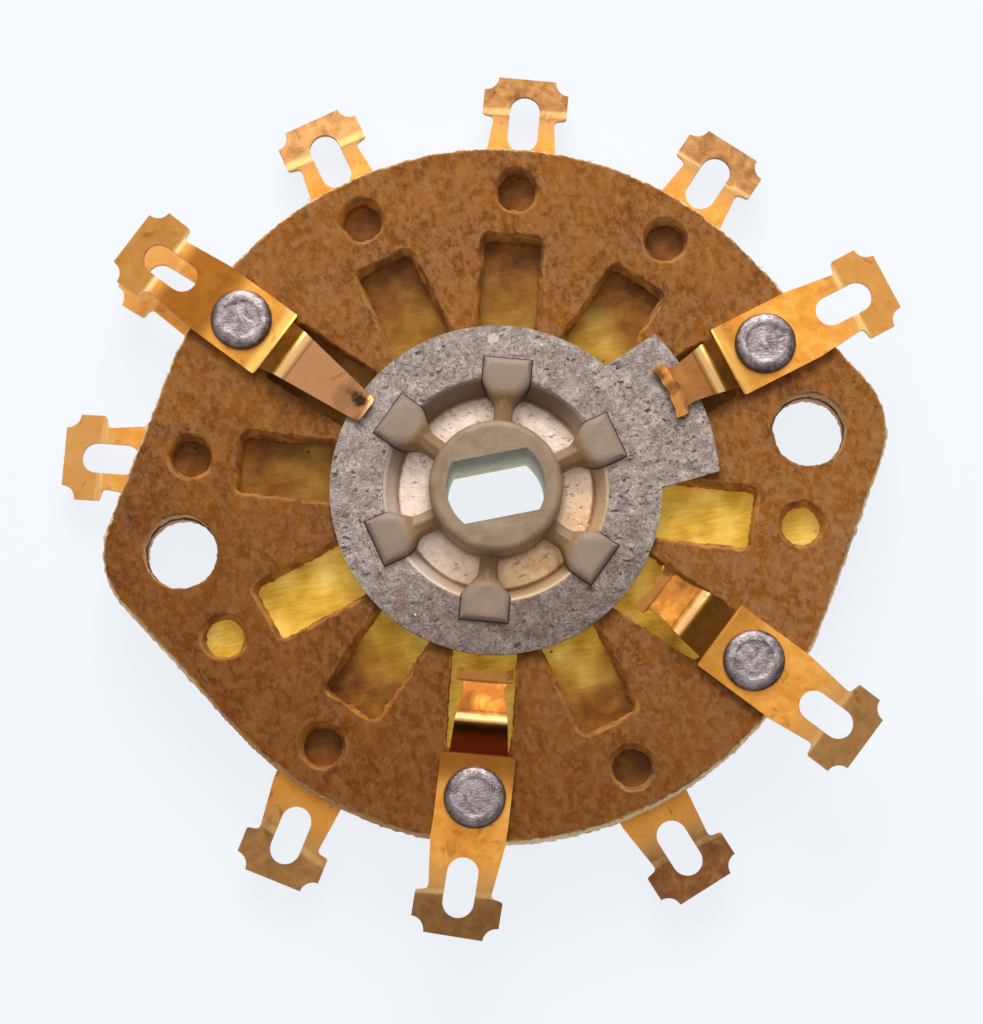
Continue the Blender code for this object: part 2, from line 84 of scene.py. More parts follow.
RING_TOP = 2.35
RING_RADIUS = 10.695
DISH_RADIUS = 7.3
DISH_SLOPE = 0.8
DISH_LIP_BEND = 0.3
DISH_FOOT_BEND = 0.6
TAB_INNER = 3.795
TAB_RADIUS = 14.445
TAB_TIP_ANGLE = 40.0
TAB_ROOT_ANGLE = 48.0
POCKET_DEPTH = 0.5
LAYER_BOTTOM = 0.23
LAYER_THICKNESS = 1.6
BOARD_FACE = 1.83
DISC_RADIUS = 22.595
EAR_RADIUS = 5.0
EAR_X = 20.65
MOUNT_HOLE_RADIUS = 2.3
ROTOR_HOLE_RADIUS = 8.945
WINDOW_INNER = 9.695
WINDOW_OUTER = 16.795
WINDOW_WIDTH = 4.05
WINDOW_CORNER = 0.6
RIVET_HOLE_RADIUS = 1.42
RIVET_CIRCLE = 19.835
STRIP_THICKNESS = 0.25
SHOULDER_TO_RIVET = 2.74
WINDOW_TO_SHOULDER = 0.3
CREST_RADIUS = 15.095
CREST_HEIGHT = 1.3
VALLEY_DEPTH = 0.8
LEAF_CLEARANCE = 0.04
SHORT_TIP_OVERLAP = 2.9
SHORT_CONTACT = 0.9
LONG_TIP_OVERLAP = 1.0
LONG_CONTACT = 0.4
OUTER_TIP_FLARE = 0.28
INNER_TIP_FLARE = 0.12
LEAF_BEND = 0.5
BODY_WIDTH = 4.8
SHOULDER_WIDTH = 3.75
CREST_WIDTH = 3.4
THROAT_WIDTH = 2.6
TIP_WIDTH = 3.6
TIP_LENGTH = 1.0
TIP_HOLLOW = 0.3
LONG_TIP_WIDTH = 1.8
INNER_LEAF_RATIO = 0.86
LUG_REACH = 8.86
HEAD_LENGTH = 2.6
HEAD_WIDTH = 5.6
HEAD_NIP = 0.9
NECK_TAPER_START = 2.8
LUG_NECK_WIDTH = 4.0
LUG_SLOT_START = 3.83
LUG_SLOT_LENGTH = 3.85
LUG_SLOT_WIDTH = 2.0
RIVET_HEAD_RADIUS = 1.98
RIVET_HEAD_HEIGHT = 0.62

# Clips by clock place: turn, crest further out, lug's swing, lug further out, lug head's bend
FRONT_CLIPS = {2: (-1.5, 0.9, 0.0, 0.0, 9.0), 4: (-3.0, 0.0, 0.0, 0.0, -6.0),
               6: (-1.0, 0.0, -4.2, 0.0, -12.0), 10: (-2.5, 0.8, 0.0, 0.0, 14.0)}
REAR_CLIPS = {1: (1.0, 0.0, 0.0, -0.2, 8.0), 5: (0.5, 0.0, 5.5, 0.15, -5.0),
              7: (-1.0, 0.0, 13.0, 0.2, 4.0), 9: (0.0, 0.0, 2.0, -0.2, 6.0),
              10: (1.5, 0.8, 0.0, 0.0, 3.0), 11: (-1.0, 0.0, 0.0, -0.45, 10.0),
              12: (0.5, 0.0, -2.0, -0.4, 5.0)}
COMMON_PLACE = 10
PLACE_ANGLES = {12: 75.0, 1: 45.0, 2: 17.5, 3: -17.5, 4: -45.0, 5: -75.0, 6: -105.0, 7: -135.0,
                8: -162.5, 9: 162.5, 10: 135.0, 11: 105.0}

# Edges of the pieces
EDGE_STEP = 0.17            # between two points of the board's ragged edges
EDGE_CHIP = 0.18            # how far such an edge is broken back
EDGE_ROUNDING = 0.24        # how far its worn rounding reaches into the face
SAW_FLARE = 0.16            # how far the sawn outline stands out below the face
PUNCH_BURR = 0.24           # how far a window or hole without a clip narrows below the face
FLARE_DEPTH = 0.8           # how deep below the face that is complete
STRIP_SOFTNESS = 0.035      # the rounding of the strips' edges
RING_SOFTNESS = 0.045       # the rounding of the rings' edges

# The photograph's view
FOCAL_PIXELS = 3500.0
CAMERA_DISTANCE = 227.4
CAMERA_TILT = 8.13
CAMERA_AZIMUTH = 11.12
CENTRE_PIXEL = (495.9, 494.2)
PICTURE = (983, 1024)
SENSOR_WIDTH = 36.0

# The light table, in metres: half its width, and its distance below the hub
TABLE_HALF = 1.5
TABLE_GAP = 0.0002


def colour(red, green, blue):
    """A colour from its 0 to 255 screen values."""
    return tuple((c / 255 / 12.92) if c <= 10 else ((c / 255 + 0.055) / 1.055) ** 2.4
                 for c in (red, green, blue)) + (1.0,)


# ---------------------------------------------------------------- nodes as expressions

class Value:
    """An output socket; sums and products of values add Math nodes to their tree."""

    def __init__(self, graph, socket):
        self.graph, self.socket = graph, socket

    def maths(self, operation, *terms):
        """A Math node on these terms, or on this value alone."""
        return self.graph.node("ShaderNodeMath", {"operation": operation},
                               dict(enumerate(terms or (self,))))

    def __add__(self, other):
        return self.maths("ADD", self, other)

    __radd__ = __add__

    def __sub__(self, other):
        return self.maths("SUBTRACT", self, other)

    def __rsub__(self, other):
        return self.maths("SUBTRACT", other, self)

    def __mul__(self, other):
        return self.maths("MULTIPLY", self, other)

    __rmul__ = __mul__

    def __truediv__(self, other):
        return self.maths("DIVIDE", self, other)

    def least(self, other):
        return self.maths("MINIMUM", self, other)

    def most(self, other):
        return self.maths("MAXIMUM", self, other)

    def above(self, limit):
        return self.maths("GREATER_THAN", self, limit)

    def smooth(self, start, end):
        """0 before start, 1 after end, and an even curve between; start may be the larger."""
        low, high, bottom, top = (start, end, 0.0, 1.0) if start < end else (end, start, 1.0, 0.0)
        return self.graph.node("ShaderNodeMapRange", {"interpolation_type": "SMOOTHSTEP"},
                               {"Value": self, "From Min": low, "From Max": high,
                                "To Min": bottom, "To Max": top})


class Graph:
    """A node tree that is filled by calls."""

    def __init__(self, tree):
        self.tree = tree

    def node(self, kind, settings=None, inputs=None, output=0):
        """Adds a node: its settings first, then the values or links of its sockets."""
        made = self.tree.nodes.new(kind)
        for name, value in (settings or {}).items():
            if name == "stops":
                ramp = made.color_ramp
                while len(ramp.elements) < len(value):
                    ramp.elements.new(0.5)
                for stop, (position, tone) in zip(ramp.elements, value):
                    stop.position, stop.color = position, tone
            elif name == "curve":
                points = made.mapping.curves[0].points
                while len(points) < len(value):
                    points.new(0.5, 0.5)
                for point, place in zip(points, value):
                    point.location, point.handle_type = place, "VECTOR"
                made.mapping.update()
            else:
                setattr(made, name, value)
        for name, value in (inputs or {}).items():
            if isinstance(value, Value):
                self.tree.links.new(value.socket, made.inputs[name])
            else:
                made.inputs[name].default_value = value
        return Value(self, made.outputs[output])

    def parts(self, vector):
        """The X, Y and Z of a vector."""
        split = self.tree.nodes.new("ShaderNodeSeparateXYZ")
        self.tree.links.new(vector.socket, split.inputs[0])
        return [Value(self, output) for output in split.outputs]


class Finish(Graph):
    """A material on a Principled shader, with patterns measured in millimetres."""

    def __init__(self, name, constants):
        self.material = bpy.data.materials.new(name)
        self.material.use_nodes = True
        super().__init__(self.material.node_tree)
        self.shader = self.tree.nodes["Principled BSDF"]
        for socket, value in constants.items():
            self.shader.inputs[socket].default_value = value
        self.place = self.scaled(self.node("ShaderNodeTexCoord", output="Object"), 1 / MM)

    def scaled(self, vector, factor):
        return self.node("ShaderNodeVectorMath", {"operation": "SCALE"},
                         {"Vector": vector, "Scale": factor})

    def noise(self, scale, detail=3.0, roughness=0.55, distortion=0.0, at=None):
        return self.node("ShaderNodeTexNoise", {}, {
            "Vector": at or self.place, "Scale": scale, "Detail": detail,
            "Roughness": roughness, "Distortion": distortion})

    def cells(self, scale, at=None):
        return self.node("ShaderNodeTexVoronoi", {}, {
            "Vector": at or self.place, "Scale": scale}, "Distance")

    def warped(self, vector, scale, reach):
        """Coordinates pushed about by a noise, so that round patterns become ragged."""
        push = self.node("ShaderNodeTexNoise", {}, {"Vector": self.place, "Scale": scale}, "Color")
        return self.node("ShaderNodeVectorMath", {"operation": "MULTIPLY_ADD"},
                         {0: push, 1: (reach, reach, reach), 2: vector})

    def stretched(self, factors, turn=0.0, at=None):
        """Coordinates turned about Z and squeezed, so that a pattern runs along one way."""
        return self.node("ShaderNodeMapping", {}, {
            "Vector": at or self.place, "Rotation": (0, 0, math.radians(turn)), "Scale": factors})

    def ramp(self, value, stops):
        """A colour for each value, from stops of a value and a red, green and blue."""
        return self.node("ShaderNodeValToRGB", {
            "stops": [(at, colour(*tone)) for at, *tone in stops]}, {"Fac": value})

    def mix(self, factor, first, second, blend="MIX"):
        """Two colours mixed."""
        return self.node("ShaderNodeMix", {"data_type": "RGBA", "blend_type": blend},
                         {0: factor, 6: first, 7: second}, 2)

    def layered(self, tone, *layers):
        """A colour under layers, each a share and a colour or its red, green and blue."""
        for share, over in layers:
            tone = self.mix(share, tone, colour(*over) if isinstance(over, tuple) else over)
        return tone

    def attribute(self, name, output="Fac"):
        return self.node("ShaderNodeAttribute", {"attribute_name": name}, output=output)

    def from_axis(self):
        """The X, Y and Z of the place, and its distance from the shaft's axis."""
        x, y, z = self.parts(self.place)
        return x, y, z, (x * x + y * y).maths("SQRT")

    def distance(self, point, at=None):
        return self.node("ShaderNodeVectorMath", {"operation": "DISTANCE"},
                         {0: at or self.place, 1: point}, "Value")

    def connect(self, socket, value):
        self.tree.links.new(value.socket, self.shader.inputs[socket])

    def bump(self, height, depth):
        """Relief from a height between 0 and 1, of this depth in millimetres."""
        relief = self.node("ShaderNodeBump", {}, {"Height": height, "Distance": depth * MM,
                                                  "Strength": 1.0})
        self.connect("Normal", relief)


# ---------------------------------------------------------------- finishes

def phenolic_finish():
    """Fibre-filled brown sheet: mottled, with painted sheen flecks and painted shade to the
    south-west, straw-coloured where it is cut, with a painted glow in its cut walls.
    """
    f = Finish("phenolic_sheet", {"Metallic": 0.0, "Specular IOR Level": 0.16,
                                  "Emission Strength": 0.2})
    x, y, _ = f.parts(f.place)
    slant = f.stretched((1.0, 0.8, 1.0), 66.0)
    south = y.smooth(4.0, -16.0)
    broad = f.noise(0.13, 2.0)
    patch = f.noise(0.85, 4.0, 0.58, 0.0, slant)
    felt = f.noise(2.4, 5.0, 0.7, 0.0, slant)
    grain = f.noise(6.0, 4.0, 0.7)
    # Mauve patches and flecks: painted sheen of the sheet's glossy little bumps
    mauve_sheen = f.noise(0.6, 4.0, 0.62, 0.0, slant) * 0.6 + felt * 0.4
    sheen_flecks = f.noise(2.1, 4.0, 0.6, 0.3, f.stretched((1.0, 0.75, 1.0), 35.0))
    tone = f.ramp(patch * 0.35 + felt * 0.35 + grain * 0.3, [
        (0.38, 86, 44, 8), (0.45, 116, 66, 15), (0.51, 138, 81, 17), (0.57, 156, 97, 26),
        (0.65, 178, 124, 50)])
    tone = f.layered(
        tone,
        (broad.smooth(0.38, 0.62) * 0.35 + south * 0.3, (156, 94, 20)),
        # Painted sheen: the mauve patches and flecks
        (mauve_sheen.smooth(0.44, 0.62) * (0.3 + south * 0.4), (162, 120, 84)),
        (sheen_flecks.smooth(0.48, 0.60) * (0.38 + south * 0.3), (168, 126, 86)),
        (f.noise(1.2, 3.0, 0.6, 0.0, slant).smooth(0.50, 0.64) * 0.4, (158, 90, 22)),
        (f.cells(1.5).smooth(0.14, 0.05) * grain.smooth(0.48, 0.6) * 0.6, (66, 38, 16)))
    # Darker towards the south-west: painted shade
    tone = f.mix((y * 0.8 + x * 0.45).smooth(8.0, -20.0), tone, colour(210, 194, 146), "MULTIPLY")
    edge, cut = f.attribute("edge"), f.attribute("cut")
    worn = edge * f.noise(0.7, 3.0).smooth(0.44, 0.62) * (0.4 + grain * 0.8)
    inside = cut.smooth(0.02, 0.1)
    amber = f.mix(patch.smooth(0.38, 0.6), colour(104, 56, 14), colour(188, 118, 36))
    strand = f.noise(4.0, 5.0, 0.7, 1.0, f.stretched((1.0, 1.0, 3.5)))
    soaked = (f.distance((-15.5, -16.5, 0.0)).smooth(13.0, 7.0)
              + f.noise(0.55, 3.0).smooth(0.5, 0.62) * 0.5).least(1.0)
    straw = f.layered(
        f.ramp(strand, [(0.30, 142, 102, 54), (0.42, 196, 164, 114), (0.55, 226, 206, 170),
                        (0.80, 240, 230, 208)]),
        (soaked * 0.75, (150, 96, 40)))
    f.connect("Base Color", f.layered(tone, ((worn * 0.8).least(0.8), (194, 134, 62)),
                                      (inside * 0.7, amber), (cut, straw)))
    # Painted glow: the window walls shine amber and the cut edges straw, as if lit through from
    # below
    f.connect("Emission Color", f.layered(colour(0, 0, 0), (inside * 0.5, amber),
                                          (cut.smooth(0.2, 1.0), straw)))
    f.connect("Roughness", 0.46 + grain * 0.3)
    f.bump(patch * 0.2 + felt * 0.4 + grain * 0.4 + strand * cut, 0.10)
    return f.material


# Light that comes up through the core at each place: at the window's inner and outer end
GLOW = {12: (0.22, 0.0), 1: (0.5, 0.0), 2: (0.35, 0.1), 3: (1.0, 1.0), 4: (0.95, 0.9),
        5: (0.85, 0.05), 6: (0.95, 0.9), 7: (0.8, 0.05), 8: (1.0, 1.0), 9: (0.22, 0.05),
        10: (0.15, 0.0), 11: (0.28, 0.0)}


def core_finish():
    """Thin translucent yellow sheet, lit from below at some windows and dark in the others."""
    f = Finish("core_sheet", {"Metallic": 0.0, "Roughness": 0.42, "Specular IOR Level": 0.15,
                              "Emission Strength": 0.4})
    x, y, _, radius = f.from_axis()
    inner = radius.smooth(15.2, 11.4) + (f.noise(0.4, 2.0) - 0.5) * 0.5
    glow = 0.05
    for place, (near, far) in GLOW.items():
        angle = math.radians(PLACE_ANGLES[place])
        across = y * math.cos(angle) - x * math.sin(angle)
        ahead = x * math.cos(angle) + y * math.sin(angle)
        end = 21.7 if near == far else 17.0
        mask = (across.maths("ABSOLUTE").smooth(2.5, 2.1)
                * ahead.smooth(8.0, 8.4) * ahead.smooth(end + 0.3, end - 0.3))
        glow = mask * (far + inner * (near - far)) + glow
    glow = (glow * (0.78 + f.noise(0.5, 3.0) * 0.4)).least(1.0).most(0.0)
    streaks = f.noise(1.6, 4.0, 0.6, 0.4, f.stretched((0.5, 4.0, 1.0), -24.0))
    yellow = f.ramp(streaks * 0.3 + f.noise(0.4, 2.0, 0.5) * 0.7, [
        (0.34, 172, 126, 32), (0.46, 200, 155, 50), (0.56, 215, 176, 74), (0.68, 230, 200, 112)])
    brown = f.ramp(f.noise(0.8, 5.0, 0.65, 0.4), [
        (0.32, 90, 44, 8), (0.52, 122, 68, 14), (0.70, 148, 90, 26)])
    speck = f.cells(1.05).smooth(0.14, 0.04) * f.noise(1.3, 2.0).smooth(0.48, 0.6)
    tone = f.layered(brown, (glow, yellow), (speck * 0.85, (40, 22, 10)))
    f.connect("Base Color", tone)
    f.connect("Emission Color", f.mix(glow * 0.9 + 0.08, colour(0, 0, 0), tone))
    f.bump(streaks * 0.6 + speck, 0.05)
    return f.material


# Between the heights that two places' strips have in their finish
STRIP_SPACING = 11.0
# Painted shade of small dents in the strips, which the bump also sinks: place (below zero on the
# rear), distance from the rivet along the clip and across it, height, radius, and how black it is
DENT_SHADES = [(2, -7.45, 1.15, 0.75, 1.15, 0.9), (2, -7.0, 0.2, 0.75, 0.9, 0.6),
           (10, -9.3, -0.35, 0.75, 0.8, 0.65), (10, -8.8, -0.1, 0.8, 1.6, 0.35),
           (4, -8.0, 1.35, 0.7, 0.9, 0.75),
           (6, -8.1, 1.5, 0.7, 0.6, 0.5), (6, -8.0, -1.6, 0.7, 0.5, 0.5)]
# How dull and shaded each lug is, its tarnish and painted shade, and how dark the painted shade in
# the fold at each leaf's shoulder
LUG_DULL_AND_SHADE = {2: (0.35, 0.4), 4: (0.66, 0.45), 6: (0.74, 0.95), 10: (0.3, 0.35), -12: (0.8, 0.5),
             -1: (0.76, 0.5), -5: (0.96, 0.5), -7: (0.7, 0.5), -9: (0.44, 0.5), -10: (0.4, 0.5),
             -11: (0.72, 0.5)}


def brass_finish():
    """Gilt spring strip: rolled grain, tarnish and painted shade on the lugs, painted shade in the
    folds and dents, painted highlights on the bends.
    """
    f = Finish("gilt_spring_strip", {"Metallic": 1.0})
    local = f.attribute("strip", "Vector")
    along = f.parts(local)[0]
    lug_dull_and_shade, dark_fold = f.attribute("dull"), f.attribute("dark_fold")
    past_crest = f.attribute("past_crest")
    mottle = f.noise(1.1, 5.0, 0.62, 0.4, local)
    grain = f.noise(8.0, 3.0, 0.7, 0.0, local)
    rolled = f.noise(3.0, 3.0, 0.6, 0.0, f.stretched((0.6, 3.0, 1.0), 0.0, local))
    patches = f.noise(0.5, 3.0, 0.6, 0.3, local)
    tone = f.ramp(mottle * 0.5 + f.noise(0.35, 3.0, 0.6) * 0.35 + rolled * 0.05 + grain * 0.1, [
        (0.32, 202, 122, 38), (0.44, 228, 150, 56), (0.55, 242, 170, 74), (0.70, 250, 198, 110)])
    dull = (lug_dull_and_shade * (along.smooth(3.2, 7.2) * 0.85 + 0.15) * (0.7 + mottle * 0.6)).least(1.0)
    warm = dark_fold.smooth(0.35, 0.45)
    leaf = past_crest.smooth(0.0, -0.6)
    crest_highlight = past_crest.smooth(-0.6, -0.35) * past_crest.smooth(0.1, -0.1)
    slope_shade = along.smooth(-2.65, -2.85) * past_crest.smooth(-0.1, 0.35)
    crease_shade = past_crest.smooth(-0.82, -0.72) * past_crest.smooth(-0.6, -0.7)
    # Band for a painted highlight along the shoulder's bend
    shoulder = (1 - warm) * along.smooth(-1.7, -2.4) * along.smooth(-2.85, -2.65)
    body = dark_fold.smooth(0.38, 0.36) * along.smooth(0.6, 2.0) * along.smooth(6.0, 4.8)
    # Band for a painted highlight on the bend at the lug's neck
    neck = along.smooth(5.8, 6.05) * along.smooth(6.45, 6.25)
    stain = f.noise(0.7, 4.0, 0.7, 0.6, local).smooth(0.58, 0.70)
    pit = f.cells(2.4, at=local).smooth(0.12, 0.05) * grain.smooth(0.5, 0.6)
    dent_shade = 0.0
    ragged = f.noise(0.9, 4.0, 0.6, 0.0, local)
    for place, x, y, z, size, black in DENT_SHADES:
        spot = f.distance((x, y, z + place * STRIP_SPACING), local) + (ragged - 0.5) * 2.4
        dent_shade = spot.smooth(size, size * 0.35) * black + dent_shade
    dent_shade = dent_shade.least(1.0)
    f.connect("Base Color", f.layered(
        tone,
        # Pale dull gold, then dark brown: tarnish on the lugs, and painted shade on those that
        # tilt away from the light
        ((dull * 1.6).least(1.0), (198, 149, 92)),
        (dull.smooth(0.45, 1.0) * (0.6 + mottle * 0.5), (116, 71, 44)),
        # Painted shade in the fold from the rivet to the leaf's shoulder
        (along.smooth(0.4, -2.2) * dark_fold * 0.85, (112, 60, 18)),
        (leaf * (0.85 - warm * 0.25), f.mix(warm, colour(188, 138, 98), colour(162, 98, 44))),
        (body * (0.4 + mottle * 0.8), (132, 76, 24)),
        # Painted highlight on the shoulder's bend
        (shoulder * 0.7, (255, 214, 120)),
        # Painted highlight on the bend at the lug's neck
        (neck * (0.75 - warm * 0.5), (248, 216, 152)),
        (leaf * warm * patches.smooth(0.46, 0.66) * 0.7, (104, 58, 22)),
        (leaf * warm * patches.smooth(0.48, 0.32) * 0.6, (236, 160, 70)),
        # Painted highlight on the flared tips of the warm leaves
        (warm * past_crest.smooth(-2.6, -2.8) * 0.7, (250, 176, 92)),
        # Painted shade on the slope from the shoulder up to the crest, near black then dark red
        (slope_shade * dark_fold, f.mix(past_crest.smooth(0.4, 1.2), colour(40, 22, 8),
                                  colour(124, 42, 14))),
        # Painted highlight along the crest, and painted shade in the crease past it
        (crest_highlight * 0.6, (250, 214, 150)),
        (crease_shade * 0.5, (96, 50, 22)),
        (stain * 0.45, (150, 88, 30)),
        (pit * 0.7, (60, 34, 16)),
        # Painted shade in the dents
        (dent_shade * 0.92, (44, 26, 14))))
    f.connect("Roughness", (0.26 + mottle * 0.2 + stain * 0.12 + dent_shade * 0.15
                            + dull * 0.25 - crest_highlight * 0.1).least(0.8))
    f.bump(mottle * 0.5 + rolled * 0.2 + grain * 0.3 - pit * 0.6 - dent_shade * 0.8, 0.022)
    return f.material


def rivet_finish():
    """Plated steel rivets, scratched, with a painted shadow at the hammered edge."""
    f = Finish("plated_rivet", {"Metallic": 0.8})
    radius = f.attribute("rivet_radius")
    mottle = f.noise(1.3, 6.0, 0.68, 0.8)
    grain = f.noise(7.0, 3.0, 0.6)
    scratch = f.noise(2.6, 3.0, 0.6, 0.3, f.stretched((1.0, 7.0, 1.0), 35.0))
    wear = mottle * 0.6 + scratch * 0.25 + grain * 0.15
    tone = f.ramp(wear, [
        (0.36, 78, 66, 66), (0.44, 124, 112, 114), (0.53, 158, 146, 148), (0.66, 204, 194, 194)])
    # A painted shadow darkens the rim of each head
    f.connect("Base Color", f.layered(tone, (radius.smooth(1.75, 1.97) * 0.55, (70, 56, 56))))
    f.connect("Roughness", 0.18 + mottle * 0.26)
    f.bump(wear, 0.10)
    return f.material


def ring_finish():
    """Worn silver plate: fibrous pitted rim, and warmer smooth inner tabs, with painted shade to
    the south, on the dish's north side and by the hub, and a dish wall painted lighter.
    """
    f = Finish("worn_silver_plate", {"Metallic": 0.35})
    x, y, z, radius = f.from_axis()
    mottle = f.noise(1.1, 8.0, 0.75, 0.6)
    fibre = f.noise(3.0, 6.0, 0.72, 1.2)
    grain = f.noise(8.0, 3.0, 0.65)
    rim = f.ramp(mottle * 0.4 + fibre * 0.35 + grain * 0.25, [
        (0.38, 92, 76, 70), (0.45, 136, 120, 113), (0.50, 163, 149, 141), (0.55, 188, 176, 168),
        (0.63, 226, 218, 212)])
    # Darker towards the south: painted shade
    rim = f.mix(y.smooth(-1.0, -10.0), rim, colour(204, 198, 195), "MULTIPLY")
    rust = f.noise(0.5, 5.0, 0.7, 0.9).smooth(0.56, 0.70)
    flake = f.cells(0.9).smooth(0.10, 0.06) * fibre.smooth(0.50, 0.56)
    warped = f.warped(f.stretched((1.0, 1.9, 1.0), 20.0), 2.2, 0.9)
    pit = (f.cells(1.0, at=warped).smooth(0.30, 0.12) * mottle.smooth(0.45, 0.54)
           + f.cells(2.3, at=warped).smooth(0.30, 0.12) * fibre.smooth(0.46, 0.56)).least(1.0)
    pit = pit * f.noise(0.25, 2.0).smooth(0.36, 0.52)
    peeled = f.distance((2.35, 10.3, 2.95), f.warped(f.place, 1.4, 1.1)).smooth(0.5, 0.4)
    rim = f.layered(rim, (rust * 0.4, (140, 92, 74)), (flake, (246, 244, 240)),
                    (pit * 0.8, (72, 54, 48)), (peeled * 0.8, (214, 207, 201)))
    satin = f.noise(1.4, 5.0, 0.65, 0.5)
    gold = (x * 0.5 - y + satin * 4.0).smooth(2.0, 9.0)
    wall = z.maths("ABSOLUTE").smooth(0.44, 1.0)
    dish = f.layered(
        f.ramp(satin * 0.7 + grain * 0.3, [
            (0.36, 222, 197, 180), (0.50, 242, 220, 204), (0.64, 250, 236, 226)]),
        (gold, f.ramp(satin, [(0.36, 222, 176, 126), (0.62, 246, 210, 164)])),
        # Painted light: the dish's wall lighter than its floor, to lift its shade
        (wall * 0.8, f.mix(gold, colour(255, 240, 226), colour(246, 212, 170))),
        # Painted shade on the dish's north side
        (radius.smooth(5.0, 6.7) * y.smooth(1.5, 5.0) * 0.85, (116, 98, 84)),
        # Painted shadow next to the hub
        (radius.smooth(4.7, 4.3) * 0.5, (150, 112, 78)))
    inner = radius.smooth(7.35, 7.2)
    f.connect("Base Color", f.mix(inner, rim, dish))
    f.connect("Metallic", 0.3 + inner * (0.55 - wall * 0.5))
    f.connect("Roughness", 0.55 + mottle * 0.25 - inner * 0.26)
    f.bump((mottle * 0.4 + fibre * 0.4 + grain * 0.2 - pit * 0.6) * (1 - inner * 0.6), 0.09)
    return f.material


def moulding_finish():
    """Taupe moulding: smooth, amber-brown in painted shade at its necks, greyer on the lobes, with
    a painted glow up the slot.
    """
    f = Finish("hub_moulding", {"Metallic": 0.0, "Specular IOR Level": 0.4,
                                "Emission Strength": 0.3})
    _, _, z, radius = f.from_axis()
    cloud = f.noise(0.5, 3.0, 0.5, 0.4)
    fine = f.noise(4.5, 4.0, 0.6)
    # Band round the necks, for painted shade in their hollows
    neck = radius.smooth(3.9, 4.6) * radius.smooth(6.8, 5.9)
    bore = radius.smooth(3.3, 3.15) * z.smooth(3.9, 3.7)
    drawn = f.noise(1.2, 4.0, 0.6, 0.3, f.stretched((1.0, 1.0, 4.0)))
    f.connect("Base Color", f.layered(
        f.ramp(cloud * 0.7 + fine * 0.3, [
            (0.32, 134, 110, 86), (0.48, 150, 126, 102), (0.66, 166, 144, 120)]),
        # Painted shade at the necks
        (neck * 0.55, (150, 112, 66)),
        (radius.smooth(6.0, 7.0) * 0.5, (150, 132, 122)),
        (bore * 0.85, f.ramp(drawn, [(0.35, 76, 66, 38), (0.65, 152, 140, 92)]))))
    # Painted glow up the slot's wall, brighter towards the bottom as if lit from below
    f.connect("Emission Color", f.mix(bore * z.smooth(2.0, -4.0) * (0.2 + drawn), colour(0, 0, 0),
                                      colour(222, 226, 176)))
    f.connect("Roughness", 0.38 + fine * 0.2)
    f.bump(cloud * 0.3 + fine * 0.7, 0.04)
    return f.material


def fibre_finish():
    """Loose straw-coloured fibres of the sheet."""
    f = Finish("sheet_fibre", {"Metallic": 0.0, "Roughness": 0.8})
    f.connect("Base Color", f.ramp(f.noise(1.5, 2.0), [
        (0.35, 178, 142, 92), (0.55, 222, 204, 170), (0.70, 240, 230, 210)]))
    return f.material


# ---------------------------------------------------------------- outlines and sheets

def arc(centre, radius, start, end, steps):
    """Points on an arc, both ends included, with its angles in degrees."""
    angles = np.radians(np.linspace(start, end, steps + 1))
    return [(centre[0] + radius * math.cos(a), centre[1] + radius * math.sin(a)) for a in angles]


def circle(centre, radius, steps):
    return arc(centre, radius, 0, 360, steps)[:-1]


def turned_by(points, degrees):
    c, s = math.cos(math.radians(degrees)), math.sin(math.radians(degrees))
    return [(x * c - y * s, x * s + y * c) for x, y in points]


def mirrored(half):
    return half + [(x, -y) for x, y in reversed(half) if y > 0]


def rounded(corners, radius, steps=6, closed=True):
    """The outline through these corners with each of them rounded."""
    result = []
    for i, corner in enumerate(corners):
        if not closed and i in (0, len(corners) - 1):
            result.append(corner)
            continue
        before, after = corners[i - 1], corners[(i + 1) % len(corners)]
        length_in, length_out = math.dist(corner, before), math.dist(corner, after)
        ux, uy = (before[0] - corner[0]) / length_in, (before[1] - corner[1]) / length_in
        vx, vy = (after[0] - corner[0]) / length_out, (after[1] - corner[1]) / length_out
        half_angle = math.acos(max(-1.0, min(1.0, ux * vx + uy * vy))) / 2
        tangent = min(radius / math.tan(half_angle), 0.45 * length_in, 0.45 * length_out)
        for step in range(steps + 1):
            share = step / steps
            a, b = (1 - share) ** 2 * tangent, share ** 2 * tangent
            result.append((corner[0] + a * ux + b * vx, corner[1] + a * uy + b * vy))
    return result


def sheet_section(path, thickness):
    """The outline of a bent sheet whose middle line is the path, mitred at each bend."""
    headings = [math.atan2(z1 - z0, x1 - x0) for (x0, z0), (x1, z1) in zip(path, path[1:])]
    left, right = [], []
    for (x, z), before, after in zip(path, headings[:1] + headings, headings + headings[-1:]):
        bend = (after - before + math.pi) % (2 * math.pi) - math.pi
        across = before + bend / 2 + math.pi / 2
        offset = thickness / 2 / math.cos(bend / 2)
        dx, dz = math.cos(across) * offset, math.sin(across) * offset
        left.append((x + dx, z + dz))
        right.append((x - dx, z - dz))
    return left + right[::-1]


def into_scene(thing):
    bpy.context.scene.collection.objects.link(thing)
    return thing


def evaluated_mesh(thing):
    """The mesh of an object of the scene, with its modifiers applied."""
    bpy.context.view_layer.update()
    return bpy.data.meshes.new_from_object(
        thing.evaluated_get(bpy.context.evaluated_depsgraph_get()))


def mesh_object(name, vertices, faces=(), edges=()):
    mesh = bpy.data.meshes.new(name)
    mesh.from_pydata(vertices, list(edges), list(faces))
    return bpy.data.objects.new(name, mesh)


def bands(start, count, levels):
    """The faces between closed rows of count points, whose first point is start."""
    return [(a + i, a + (i + 1) % count, a + count + (i + 1) % count, a + count + i)
            for a in range(start, start + (levels - 1) * count, count) for i in range(count)]


